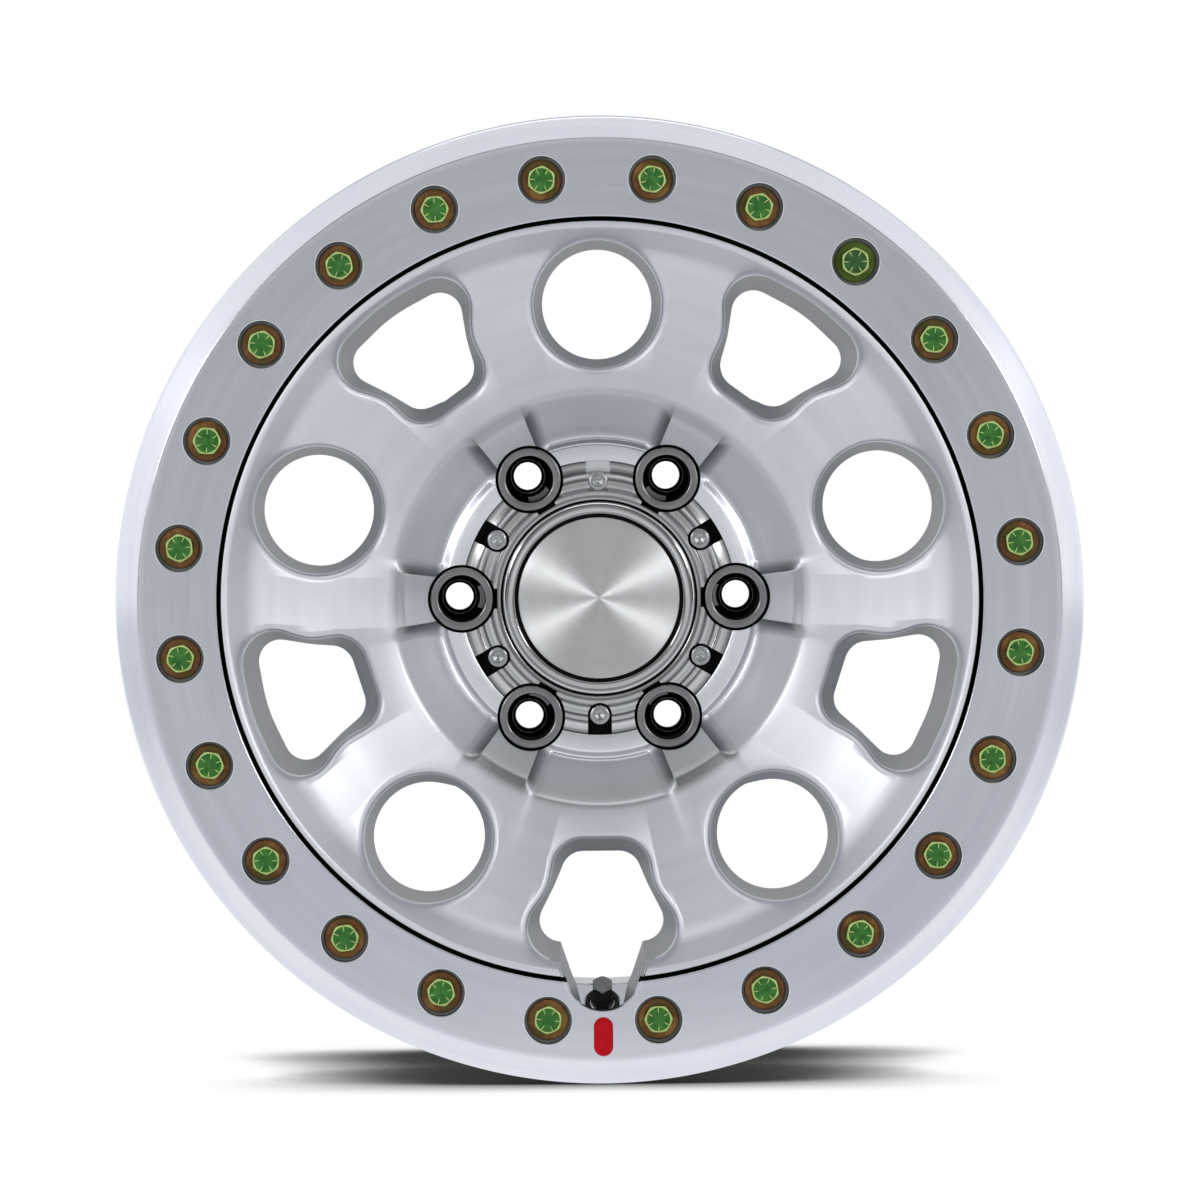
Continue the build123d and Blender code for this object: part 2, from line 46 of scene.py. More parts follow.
boltCircle = dict(radius=210.0, count=24, firstAngle=7.5)
lugCircle = dict(radius=68.6, studRadius=69.85, count=6)
screwCircle = dict(radius=58.5, count=6, firstAngle=30.0)
valveAngle = 270.0


def toFrame(points):
    # (x, y, z) in millimetres becomes (x, -z, y) in metres
    points = np.asarray(points, float)
    return np.stack([points[..., 0], -points[..., 2], points[..., 1]], -1) * 0.001


def turnedBy(points, angle):
    # points turned by an angle in degrees about the wheel's axis
    c, s = math.cos(math.radians(angle)), math.sin(math.radians(angle))
    x, y = points[..., 0], points[..., 1]
    return np.stack([c * x - s * y, s * x + c * y, points[..., 2]], -1)


def placedAt(points, radius, angle):
    # points moved out along the first axis, then turned about the wheel's axis
    return turnedBy(points + np.array([radius, 0, 0]), angle)


def addObject(name, data):
    thing = bpy.data.objects.new(name, data)
    bpy.context.scene.collection.objects.link(thing)
    return thing


def gridMesh(name, grids, closeColumns=True, closeRows=False):
    # each grid is rows x columns x 3; neighbouring points make one quad
    vertices, faces, base = [], [], 0
    for grid in grids:
        rows, columns = grid.shape[:2]
        index = np.arange(rows * columns).reshape(rows, columns)
        down = np.roll(index, -1, 0) if closeRows else index[1:]
        here = index if closeRows else index[:-1]
        nextHere, nextDown = np.roll(here, -1, 1), np.roll(down, -1, 1)
        quads = np.stack([here, nextHere, nextDown, down], -1)
        quads = quads if closeColumns else quads[:, :-1]
        vertices.append(grid.reshape(-1, 3))
        faces.append(quads.reshape(-1, 4) + base)
        base += rows * columns
    mesh = bpy.data.meshes.new(name)
    mesh.from_pydata(toFrame(np.concatenate(vertices)).tolist(), [], np.concatenate(faces).tolist())
    thing = addObject(name, mesh)
    cleanMesh(thing)
    return thing


def cleanMesh(thing, reach=2e-6):
    # points that fall together are merged, faces without area go, and all faces turn outwards
    work = bmesh.new()
    work.from_mesh(thing.data)
    bmesh.ops.remove_doubles(work, verts=work.verts, dist=reach)
    bmesh.ops.dissolve_degenerate(work, edges=work.edges, dist=reach / 2)
    bmesh.ops.recalc_face_normals(work, faces=work.faces)
    work.to_mesh(thing.data)
    work.free()


def smoothShade(thing, sharpAngle):
    thing.data.shade_smooth()
    thing.data.set_sharp_from_angle(angle=math.radians(sharpAngle))


def roundedOutline(corners, samples=5, closed=True):
    # each corner (a, b, radius) becomes an arc tangent to both of its sides
    corners = np.asarray(corners, float)
    here, radius = corners[:, :2], corners[:, 2]
    wayIn = here - np.roll(here, 1, 0)
    wayOut = np.roll(wayIn, -1, 0)
    wayIn = wayIn / np.linalg.norm(wayIn, axis=1, keepdims=True)
    wayOut = wayOut / np.linalg.norm(wayOut, axis=1, keepdims=True)
    turn = np.arctan2(wayIn[:, 0] * wayOut[:, 1] - wayIn[:, 1] * wayOut[:, 0], (wayIn * wayOut).sum(1))
    if not closed:
        turn[0] = turn[-1] = radius[0] = radius[-1] = 0
    reach = radius * np.tan(np.abs(turn) / 2)
    side = np.stack([-wayIn[:, 1], wayIn[:, 0]], 1) * np.sign(turn)[:, None]
    start = here - wayIn * reach[:, None]
    centre = start + side * radius[:, None]
    angle = turn[:, None] * np.linspace(0, 1, samples)[None]
    spoke = -side[:, None] * radius[:, None, None]
    c, s = np.cos(angle)[..., None], np.sin(angle)[..., None]
    across = np.stack([-spoke[..., 1], spoke[..., 0]], -1)
    points = (centre[:, None] + spoke * c + across * s).reshape(-1, 2)
    keep = np.linalg.norm(points - np.roll(points, 1, 0), axis=1) > 1e-4
    keep[0] = keep[0] or not closed
    return points[keep]


def refined(points, step, closed=True):
    # extra points so that no side of the outline is longer than the step
    loop = np.vstack([points, points[:1]]) if closed else points
    length = np.concatenate([[0], np.cumsum(np.linalg.norm(np.diff(loop, axis=0), axis=1))])
    wanted = np.arange(0, length[-1], step)
    nearest = np.abs(wanted[:, None] - length[None]).min(1)
    at = np.unique(np.concatenate([length, wanted[nearest > step * 0.45]]))
    at = at[:-1] if closed else at
    return np.stack([np.interp(at, length, loop[:, 0]), np.interp(at, length, loop[:, 1])], 1)


def lathe(profile, angles, centreShift=None):
    # a section of (radius, height) turned about the axis; rows follow the section
    a = np.radians(angles)
    x = profile[:, :1] * np.cos(a)[None]
    y = profile[:, :1] * np.sin(a)[None]
    z = np.repeat(profile[:, 1:2], len(a), 1)
    if centreShift is not None:
        x = x + centreShift[:, None]
    return np.stack([x, y, z], -1)


def evenAngles(count):
    return np.arange(count) * 360.0 / count


def carve(target, cutters):
    # the cutters are taken away from the target, and its mesh is replaced by the result
    for cutter in cutters:
        change = target.modifiers.new("cut", "BOOLEAN")
        change.operation = "DIFFERENCE"
        change.solver = "EXACT"
        change.object = cutter
    depsgraph = bpy.context.evaluated_depsgraph_get()
    result = bpy.data.meshes.new_from_object(target.evaluated_get(depsgraph))
    target.modifiers.clear()
    target.data = result
    for cutter in cutters:
        bpy.data.objects.remove(cutter)
    cleanMesh(target)


def capped(grid):
    # a tube of rows closed at both ends by its two middle points
    ends = []
    for row in (grid[:1], grid[-1:]):
        ends.append(np.repeat(row.mean(1, keepdims=True), grid.shape[1], 1))
    return np.concatenate([ends[0], grid, ends[1]], 0)


def roundCutter(radius, bottom, top, mouth=None, edge=0.0, columns=64):
    # a round cutter; below the mouth height it flares out in a quarter round: at a share t of the edge's
    # size its radius is radius + edge * (1 - sqrt(1 - t * t)), and above it runs on at half the last slope
    rows = [(radius, bottom)]
    if mouth is None:
        rows.append((radius, top))
    else:
        lastShare = 0.92
        rows.append((radius, mouth - edge))
        t = np.linspace(0.15, lastShare, 5)
        rows += list(zip(radius + edge * (1 - np.sqrt(1 - t ** 2)), mouth - edge + edge * t))
        slope = lastShare / math.sqrt(1 - lastShare ** 2)
        rows.append((rows[-1][0] + slope * (top - rows[-1][1]) * 0.5, top))
    return capped(lathe(np.array(rows), evenAngles(columns) + 1.3))


lugAngles = evenAngles(lugCircle["count"])
screwAngles = screwCircle["firstAngle"] + evenAngles(screwCircle["count"])
boltAngles = boltCircle["firstAngle"] + evenAngles(boltCircle["count"])

# the casting
casting = dict(
    boreRadius=39.05, drumRadius=90.0, seatZ=60.0, seatSupport=63.4, seatRadius=68.6, padZ=68.0,
    padRadius=77.2, bowlLowRadius=80.3, bowlLowZ=64.8, bowlRadius=103.0, bowlZ=83.9, middleRadius=138.0,
    middleZ=89.5, riseRadius=173.0, riseZ=100.0, lipZ=115.5, registerRadius=188.0, seatPlaneZ=104.0,
    planeSupport=191.0, diskRearZ=70.0, drumOuter=217.5, safetyFrontZ=84.0, safetyRearZ=78.0,
    wellOuter=199.5, wellInner=194.0, wellZ=8.0, slopeFootZ=63.155, flangeRadius=235.5, beadRadius=218.3,
    seatDrop=3.0, rearSeatZ=-34.0, humpStart=27.0, humpTop=21.0, humpEnd=15.0, rearZ=-132.0,
    rearLipZ=-121.5, wallThick=5.5,
)
ramps = dict(halfAngle=7.8, rise=4.5, coveWidth=7.8, fineFrom=79.0, fineTo=107.0, fineStep=1.3,
             coneEnd=112.0, coneLowZ=62.0, coneTopZ=92.0, topSlope=0.16, topLift=0.15)
holes = dict(circle=146.7, radius=27.3, firstAngle=18.0, count=5)
windows = dict(firstAngle=54.0, innerV=126.7, innerHalf=16.2, innerCorner=11.0, waistV=143.7, waistHalf=23.4,
               waistCorner=40.0, outerV=169.75, outerHalf=36.7, outerCorner=10.8, crownV=174.8,
               crownCorner=80.0)
openingEdge = dict(reach=183.0, rounding=4.0, holeFlare=8.4, windowFlare=9.1, wave=2.2, waveStart=171.0,
                   waveLength=50.0)
lugPocket = dict(studHole=7.0, ledgeZ=14.0, sleeveBore=15.82, radius=17.0, top=99.0)
relief = dict(circle=69.0, radius=11.0, depth=38.0, turn=30.0)
valvePocket = dict(innerV=160.0, outerV=207.5, innerHalf=23.4, outerHalf=7.2, innerCorner=3.0, corner=7.0,
                   draft=0.09, slope=math.tan(math.radians(40.0)), footZ=67.417, edge=1.4, below=10.0,
                   above=12.0)
valveHole = dict(radius=5.75, low=-8.0, top=2.0, faceRadius=9.4, faceDepth=10.0, rearFace=-16.0)


def castingSection():
    c = casting
    seat = c["beadRadius"] - c["seatDrop"]
    inside = seat - c["wallThick"]
    corners = [
        (c["boreRadius"], 0, 0), (c["boreRadius"], c["seatZ"], 0), (c["seatSupport"], c["seatZ"], 0),
        (c["seatRadius"], c["seatZ"], 0), (c["seatRadius"], c["padZ"], 0.5),
        (c["padRadius"], c["padZ"], 2.6), (c["bowlLowRadius"], c["bowlLowZ"], 1.8),
        (c["bowlRadius"], c["bowlZ"], 5), (c["middleRadius"], c["middleZ"], 120),
        (c["riseRadius"], c["riseZ"], 20), (c["registerRadius"] - 3, c["lipZ"], 2),
        (c["registerRadius"], c["lipZ"], 0.5), (c["registerRadius"], c["seatPlaneZ"], 0),
        (c["planeSupport"], c["seatPlaneZ"], 0), (c["drumOuter"], c["seatPlaneZ"], 0.5),
        (c["drumOuter"], c["safetyFrontZ"], 2), (c["flangeRadius"], c["safetyFrontZ"], 2.8),
        (c["flangeRadius"], c["safetyRearZ"], 2.8), (c["drumOuter"] - 1.5, c["safetyRearZ"] - 1, 2.5),
        (c["wellOuter"], c["slopeFootZ"], 4), (c["wellOuter"], c["wellZ"], 20), (seat, c["rearSeatZ"], 20),
        (seat, c["rearLipZ"] + c["humpStart"], 6), (c["beadRadius"] + 1, c["rearLipZ"] + c["humpTop"], 4),
        (c["beadRadius"] - 1.5, c["rearLipZ"] + c["humpEnd"], 4), (c["beadRadius"], c["rearLipZ"], 6),
        (c["flangeRadius"] - 4, c["rearLipZ"], 5), (c["flangeRadius"], c["rearZ"], 1.2),
        (c["flangeRadius"] - c["wallThick"], c["rearZ"], 1.2),
        (c["flangeRadius"] - 2 * c["wallThick"], c["rearLipZ"] - c["wallThick"], 3),
        (inside, c["rearLipZ"] - c["wallThick"], 8), (inside, c["rearSeatZ"], 20),
        (c["wellInner"], c["wellZ"], 20), (c["wellInner"], c["diskRearZ"], 8),
        (c["drumRadius"], c["diskRearZ"], 10), (c["drumRadius"] - 1.5, 0, 2),
    ]
    return roundedOutline(corners)


def frontHeight(radius):
    # the height of the turned front surface at a radius, read from the section's front line
    section = castingSection()
    low = np.array([casting["bowlLowRadius"], casting["bowlLowZ"]])
    first = int(np.argmin(np.abs(section - low).sum(1)))
    last = int(np.argmax(section[:, 1]))
    front = section[first:last + 1]
    return np.interp(radius, front[:, 0], front[:, 1])


def coveWay(radius, angle):
    # the way in millimetres from the nearest ramp's ridge, below 0 on it: (angle - half angle) * radius
    spacing = 360 / lugCircle["count"]
    fromLug = np.abs((angle + spacing / 2) % spacing - spacing / 2)
    return np.radians(fromLug - ramps["halfAngle"]) * radius


def rampRise(radius, angle):
    # full height within the half angle, then a cove: (1 - way / width) squared
    way = coveWay(radius, angle)
    return ramps["rise"] * np.where(way < 0, 1.0, np.clip(1 - way / ramps["coveWidth"], 0, 1) ** 2)


def castingGrid():
    r = ramps
    section = castingSection()
    inBowl = (section[:, 0] > r["fineFrom"]) & (section[:, 0] < r["fineTo"])
    inBowl &= np.arange(len(section)) < np.argmax(section[:, 1])
    first, last = np.nonzero(inBowl)[0][[0, -1]]
    bowl = refined(section[first:last + 1], r["fineStep"], closed=False)
    section = np.vstack([section[:first], bowl, section[last + 1:]])
    steps = np.array([-0.5, -0.1, 0.1, 0.4, 0.9, 1.5, 2.2, 3.0, 3.9, 4.9])
    extra = np.concatenate([side * (r["halfAngle"] + steps) for side in (1, -1)])
    extra = (extra[None] + lugAngles[:, None]).ravel() % 360
    even = evenAngles(300)
    free = np.abs(even[:, None] - extra[None]).min(1) > 0.25
    angles = np.unique(np.concatenate([even[free], extra]))
    grid = lathe(section, angles)
    # the ramps stand on the bowl's cone and die out where they meet the face around it: their height above
    # the ceiling, gap, is bent down to 0.5 * (gap - sqrt(gap * gap + 1)) + 0.25
    radius, height = section[:, 0], section[:, 1]
    onCone = (radius > casting["padRadius"] + 1) & (radius < r["coneEnd"])
    onCone &= (height > r["coneLowZ"]) & (height < r["coneTopZ"])
    top = casting["bowlZ"] + (radius - casting["bowlRadius"]) * r["topSlope"] + r["topLift"]
    start = np.clip((radius - casting["padRadius"] - 1.2) / 2.0, 0, 1)[:, None]
    raised = height[:, None] + rampRise(radius[:, None], angles[None]) * start
    ceiling = np.maximum(top, height)[:, None]
    gap = raised - ceiling
    raised = ceiling + 0.5 * (gap - np.sqrt(gap ** 2 + 1.0)) + 0.25
    grid[..., 2] = np.where(onCone[:, None], np.maximum(raised, height[:, None]), grid[..., 2])
    return grid


def windowOutline():
    w = windows
    right = [(w["innerHalf"], w["innerV"], w["innerCorner"]),
             (w["waistHalf"], w["waistV"], w["waistCorner"]),
             (w["outerHalf"], w["outerV"], w["outerCorner"])]
    left = [(-a, b, r) for a, b, r in right[::-1]]
    return refined(roundedOutline(right + [(0, w["crownV"], w["crownCorner"])] + left, 11), 2.0)


def outwardNormals(outline):
    # the outline's sideways directions, from the way between each point's two neighbours
    along = np.roll(outline, -1, 0) - np.roll(outline, 1, 0)
    along = along / np.linalg.norm(along, axis=1, keepdims=True)
    return np.stack([along[:, 1], -along[:, 0]], 1)


def openingCutter(outline, angle, spread):
    # The outline (across, outwards) stands on the disk's rear face. Its wall leans out by the spread less
    # the rounding, and the rounding then runs into the front surface: at a share k of the quarter circle it
    # is rounding * (1 - k) below the surface and rounding * (1 - sqrt(1 - k * k)) further out.
    e = openingEdge
    normal = outwardNormals(outline)
    floorZ = casting["diskRearZ"]
    lean = spread - e["rounding"]
    steps = np.array([0, 0.15, 0.35, 0.55, 0.74, 0.88, 0.965])
    out = [0 * spread, 0 * spread] + [lean + e["rounding"] * (1 - math.sqrt(1 - k * k)) for k in steps]
    below = [e["rounding"] * (1 - k) for k in steps]
    out += [out[-1] + 1.6, out[-1] + 2.0]
    below += [-0.3, -26.0]
    flat = outline[None] + normal[None] * np.array(out)[..., None]
    radius = np.linalg.norm(flat, axis=-1, keepdims=True)
    soft = e["reach"] + 0.5 * (radius - e["reach"] - np.sqrt((radius - e["reach"]) ** 2 + 1.0))
    flat = flat * np.minimum(soft / radius, 1)
    height = [np.full(len(outline), floorZ - 8), np.full(len(outline), floorZ)]
    height += [frontHeight(np.linalg.norm(flat[2 + i], axis=1)) - drop for i, drop in enumerate(below)]
    grid = np.concatenate([flat, np.array(height)[..., None]], -1)
    return capped(turnedBy(grid, angle - 90))


def windowSpread(outline):
    # the wall leans out a little less where the window narrows: spread + wave * cos(way along the window)
    e = openingEdge
    way = 2 * math.pi * (outline[:, 1] - e["waveStart"]) / e["waveLength"]
    return e["windowFlare"] + e["wave"] * np.cos(way)


def lugCutter():
    # the pocket, the bore for the sleeve and, off their axis, the hole for the stud, as one stepped cutter
    p = lugPocket
    seatZ = casting["seatZ"]
    shift = lugCircle["studRadius"] - lugCircle["radius"]
    steps = [(p["studHole"], -1.0), (p["studHole"], p["ledgeZ"]), (p["sleeveBore"], p["ledgeZ"]),
             (p["sleeveBore"], seatZ), (p["radius"], seatZ), (p["radius"], p["top"])]
    return capped(lathe(np.array(steps), evenAngles(72) + 1.3, np.array([shift, shift, 0, 0, 0, 0])))


def pocketCutter():
    # The valve pocket: a drafted trough. At a height lift above its start the wall stands draft * lift
    # further out, and at a share k of the edge's quarter circle edge * (1 - sqrt(1 - k * k)) more.
    p = valvePocket
    outline = roundedOutline([(-p["innerHalf"], p["innerV"], p["innerCorner"]),
                              (p["innerHalf"], p["innerV"], p["innerCorner"]),
                              (p["outerHalf"], p["outerV"], p["corner"]),
                              (-p["outerHalf"], p["outerV"], p["corner"])], 9)
    outline = refined(outline, 2.5)
    normal = outwardNormals(outline)
    radius = np.linalg.norm(outline, axis=1)
    startZ = p["footZ"] - p["below"]
    lipZ = frontHeight(np.minimum(radius, casting["registerRadius"] - 3))
    lipZ = np.where(radius > casting["registerRadius"] - 1, casting["lipZ"], lipZ)
    steps = np.concatenate([[0], np.linspace(0.1, 0.93, 5)])
    lift = [0 * lipZ] + [lipZ - startZ - p["edge"] * (1 - k) for k in steps]
    flare = [0 * lipZ]
    flare += [p["draft"] * lift[1 + i] + p["edge"] * (1 - math.sqrt(1 - k * k)) for i, k in enumerate(steps)]
    lift.append(lipZ - startZ + p["above"])
    flare.append(flare[-1] + p["above"] * p["draft"])
    lift, flare = np.array(lift), np.array(flare)
    flat = outline[None] + normal[None] * flare[..., None]
    grid = np.concatenate([flat, (startZ + lift)[..., None]], -1)
    return turnedBy(capped(grid), valveAngle - 90)


def pocketFloorKeeper():
    # what stays below the pocket: a turned wedge whose top is the floor that rises along the barrel's slope
    p = valvePocket
    inner, outer, lowZ = casting["wellInner"], casting["drumOuter"] + 6, 40.0
    farZ = p["footZ"] + (outer - inner) * p["slope"]
    section = np.array([(inner, lowZ), (outer, lowZ), (outer, farZ), (inner, p["footZ"])])
    return lathe(section, np.linspace(valveAngle - 25, valveAngle + 25, 61))


def makeCasting():
    body = gridMesh("castingDressed", [castingGrid()], closeRows=True)
    turn = np.linspace(0, 2 * math.pi, 96, endpoint=False)
    circle = np.stack([np.cos(turn), np.sin(turn)], 1) * holes["radius"] + np.array([0, holes["circle"]])
    even = np.full(len(circle), openingEdge["holeFlare"])
    shield = windowOutline()
    spread = windowSpread(shield)
    places = evenAngles(holes["count"])
    cutters = [openingCutter(circle, holes["firstAngle"] + angle, even) for angle in places]
    cutters += [openingCutter(shield, windows["firstAngle"] + angle, spread) for angle in places]
    openings = gridMesh("openings", cutters)
    pocket = gridMesh("pocket", [pocketCutter()])
    keeper = gridMesh("keeper", [pocketFloorKeeper()], closeColumns=False, closeRows=True)
    closeEnds(keeper)
    carve(pocket, [keeper])
    deep = []
    for angle in lugAngles:
        deep.append(placedAt(lugCutter(), lugCircle["radius"], angle))
        recess = roundCutter(relief["radius"], -1, relief["depth"], columns=48)
        deep.append(placedAt(recess, relief["circle"], angle + relief["turn"]))
    deepCut = gridMesh("deep", deep)
    v = valveHole
    spots = [alongValve(roundCutter(v["faceRadius"], low, low + v["faceDepth"], columns=48))
             for low in (0, v["rearFace"])]
    spotCut = gridMesh("spots", spots)
    throughCut = gridMesh("through", [alongValve(roundCutter(v["radius"], v["low"], v["top"], columns=48))])
    carve(body, [openings, pocket, deepCut, spotCut, throughCut])
    print("casting carved:", len(body.data.polygons), "faces")
    return body


def closeEnds(thing):
    # the open ends of a tube of faces are filled, and all faces turn outwards
    work = bmesh.new()
    work.from_mesh(thing.data)
    rims = [edge for edge in work.edges if edge.is_boundary]
    bmesh.ops.holes_fill(work, edges=rims, sides=0)
    bmesh.ops.recalc_face_normals(work, faces=work.faces)
    work.to_mesh(thing.data)
    work.free()


# the valve's place, where it leans inwards on the pocket's floor
valve = dict(tilt=40.0, baseV=203.0, floorDrop=0.4)


def valveBaseZ():
    p = valvePocket
    floorZ = p["footZ"] + (valve["baseV"] - casting["wellInner"]) * p["slope"]
    return floorZ - valve["floorDrop"] / math.cos(math.radians(valve["tilt"]))


def alongValve(points):
    # points built up along the valve's own axis, turned by the tilt and moved to its place
    c, s = math.cos(math.radians(valve["tilt"])), math.sin(math.radians(valve["tilt"]))
    x, y, z = points[..., 0], points[..., 1], points[..., 2]
    return np.stack([x, -valve["baseV"] + c * y + s * z, valveBaseZ() - s * y + c * z], -1)


# the beadlock ring
ring = dict(innerRadius=190.0, outerRadius=240.0, faceRadius=228.8, frontZ=118.0, seatZ=104.0, lipDrop=4.5,
            clampDepth=3.5, seatRadius=217.8, boreRadius=11.6, boreDepth=9.0, boltHole=4.5, boreEdge=0.9,
            notchRadius=19.5, notchV=184.3, notchEdge=0.7)
badge = dict(centreV=216.4, length=19.2, width=9.4, fit=0.1, proud=0.3, thick=1.3)


def ringSection():
    # extra points beside the roundings keep the flat parts' smooth shading flat
    r = ring
    face, chamfer, drop = r["faceRadius"], r["outerRadius"] - r["faceRadius"], r["lipDrop"]
    corners = [(r["innerRadius"], r["seatZ"], 0.5), (r["innerRadius"], r["frontZ"], 0.6),
               (r["innerRadius"] + 1.0, r["frontZ"], 0), (face - 1.3, r["frontZ"], 0),
               (face, r["frontZ"], 1.2), (face + 0.12 * chamfer, r["frontZ"] - 0.12 * drop, 0),
               (face + 0.86 * chamfer, r["frontZ"] - 0.86 * drop, 0),
               (r["outerRadius"], r["frontZ"] - drop, 1.5),
               (r["outerRadius"], r["seatZ"] - r["clampDepth"], 4),
               (r["seatRadius"], r["seatZ"] - r["clampDepth"], 0.5), (r["seatRadius"], r["seatZ"], 0)]
    return refined(roundedOutline(corners, 7), 9.0)


def stadium(length, width, samples=9):
    a, b = width / 2, length / 2
    corner = min(a, b) - 0.01
    return roundedOutline([(-a, -b, corner), (a, -b, corner), (a, b, corner), (-a, b, corner)], samples)


def upright(outline, bottom, top):
    # a straight cutter with the given outline
    rows = [np.concatenate([outline, np.full((len(outline), 1), z)], 1) for z in (bottom, top)]
    return capped(np.array(rows))


def makeRing():
    r, b = ring, badge
    body = gridMesh("ringDressed", [lathe(ringSection(), evenAngles(480))], closeRows=True)
    floorZ, top = r["frontZ"] - r["boreDepth"], r["frontZ"] + 2
    bore = roundCutter(r["boreRadius"], floorZ, top, r["frontZ"], r["boreEdge"])
    hole = roundCutter(r["boltHole"], r["seatZ"] - 2, floorZ + 1, columns=32)
    bores = [placedAt(bore, boltCircle["radius"], angle) for angle in boltAngles]
    through = [placedAt(hole, boltCircle["radius"], angle) for angle in boltAngles]
    notch = roundCutter(r["notchRadius"], r["seatZ"] - 6, top, r["frontZ"], r["notchEdge"], 160)
    bed = upright(stadium(b["width"] + 2 * b["fit"], b["length"] + 2 * b["fit"]),
                  r["frontZ"] + b["proud"] - b["thick"], r["frontZ"] + 5)
    cuts = [bores, through, [placedAt(notch, r["notchV"], valveAngle)],
            [placedAt(bed, b["centreV"], valveAngle)]]
    carve(body, [gridMesh("ringCut", cut) for cut in cuts])
    print("ring carved:", len(body.data.polygons), "faces")
    return body


# ring bolts and washers
bolt = dict(shankRadius=3.9, length=25.0, flats=13.0, height=5.3, bottomZ=110.6, markInner=3.3,
            markOuter=5.6, markHeight=0.16, darkOne=3, turnStep=23.0)
washer = dict(inner=4.5, outer=10.2, bottomZ=109.0, thick=1.6)


def boltGrid(number):
    # A hexagon's radius over the angle, flats / 2 / cos(angle from a flat), cut back at the top by a crown
    # whose rows are (drop below the top, way back from the corners, paleness), with six raised radial marks.
    b = bolt
    steps = np.array([-4.2, -2.9, -2.0, 2.0, 2.9, 4.2])
    columns = np.concatenate([steps, [14.0, 22.0, 28.6, 30.0, 31.4, 38.0, 46.0]])
    angles = (columns[None] + 60.0 * np.arange(6)[:, None]).ravel()
    fromFlat = (angles + 30) % 60 - 30
    hexRadius = b["flats"] / 2 / np.cos(np.radians(fromFlat))
    topZ = b["bottomZ"] + b["height"]
    cornerRadius = b["flats"] / math.sqrt(3)
    shank, tip = b["shankRadius"], -b["length"]
    rows = []
    for radius, z in ((0.001, tip), (shank - 0.5, tip), (shank, 0.5 + tip), (shank, 0)):
        rows.append((np.full_like(angles, radius), b["bottomZ"] + z + 0 * angles, 0 * angles))
    rows.append((hexRadius * 0.98, b["bottomZ"] + 0 * angles, 0 * angles))
    rows.append((hexRadius, b["bottomZ"] + 0.15 + 0 * angles, 0 * angles))
    crown = ((0.95, 0.0, 0.0), (0.6, 0.45, 0.5), (0.3, 0.85, 0.9), (0.08, 1.2, 1.0), (0.0, 1.45, 0.9),
             (0.0, 1.75, 0.2))
    for drop, back, pale in crown:
        radius = np.minimum(hexRadius, cornerRadius - back)
        radius = np.minimum(radius, hexRadius - max(0, 0.25 - drop))
        rows.append((radius, topZ - drop + 0 * angles, pale + 0 * angles))
    onMark = np.abs(fromFlat) < 2.1
    inner, outer = b["markInner"], b["markOuter"]
    for radius in (outer + 0.12, outer, 4.5, inner, inner - 0.15, 1.6, 0.001):
        mark = np.where(onMark & (inner <= radius <= outer), 1.0, 0.0)
        rows.append((np.full_like(angles, radius), topZ - b["markHeight"] + mark * b["markHeight"], mark))
    radius, z, pale = (np.array([row[i] for row in rows]) for i in range(3))
    turn = np.radians(angles + b["turnStep"] * number)
    grid = np.stack([radius * np.cos(turn), radius * np.sin(turn), z], -1)
    return grid, pale


def withAttribute(thing, name, grids, values):
    # values known at the grid's points are handed to the merged mesh by nearest place
    points = toFrame(np.concatenate([grid.reshape(-1, 3) for grid in grids]))
    flat = np.concatenate([value.ravel() for value in values])
    tree = KDTree(len(points))
    for number, point in enumerate(points):
        tree.insert(point, number)
    tree.balance()
    found = np.array([flat[tree.find(vertex.co)[1]] for vertex in thing.data.vertices], np.float32)
    thing.data.attributes.new(name, "FLOAT", "POINT").data.foreach_set("value", found)


def makeBolts():
    marked = [boltGrid(number) for number in range(boltCircle["count"])]
    grids = [placedAt(grid, boltCircle["radius"], angle) for (grid, pale), angle in zip(marked, boltAngles)]
    pales = [pale for grid, pale in marked]
    body = gridMesh("boltsDressed", grids)
    withAttribute(body, "pale", grids, pales)
    withAttribute(body, "dark", grids, darkness(grids))
    smoothShade(body, 38)
    return body


def darkness(grids):
    # 1 on the one bolt or washer that is darker than the others, else 0
    return [np.full(grid.shape[:2], float(number == bolt["darkOne"])) for number, grid in enumerate(grids)]


def makeWashers():
    w = washer
    topZ = w["bottomZ"] + w["thick"]
    corners = [(w["inner"], w["bottomZ"], 0), (w["outer"], w["bottomZ"], 0.3), (w["outer"], topZ, 0.35),
               (w["inner"], topZ, 0.2)]
    one = lathe(refined(roundedOutline(corners, 4), 2.0), evenAngles(48))
    grids = [placedAt(one, boltCircle["radius"], angle) for angle in boltAngles]
    body = gridMesh("washersDressed", grids, closeRows=True)
    withAttribute(body, "dark", grids, darkness(grids))
    smoothShade(body, 38)
    return body


# lug sleeves
sleeve = dict(outer=15.8, inner=11.7, bottomZ=14.0, topZ=68.0, seatZ=26.0, seatTop=10.4, seatBottom=8.4,
              seatAngle=30.0, edge=0.5)


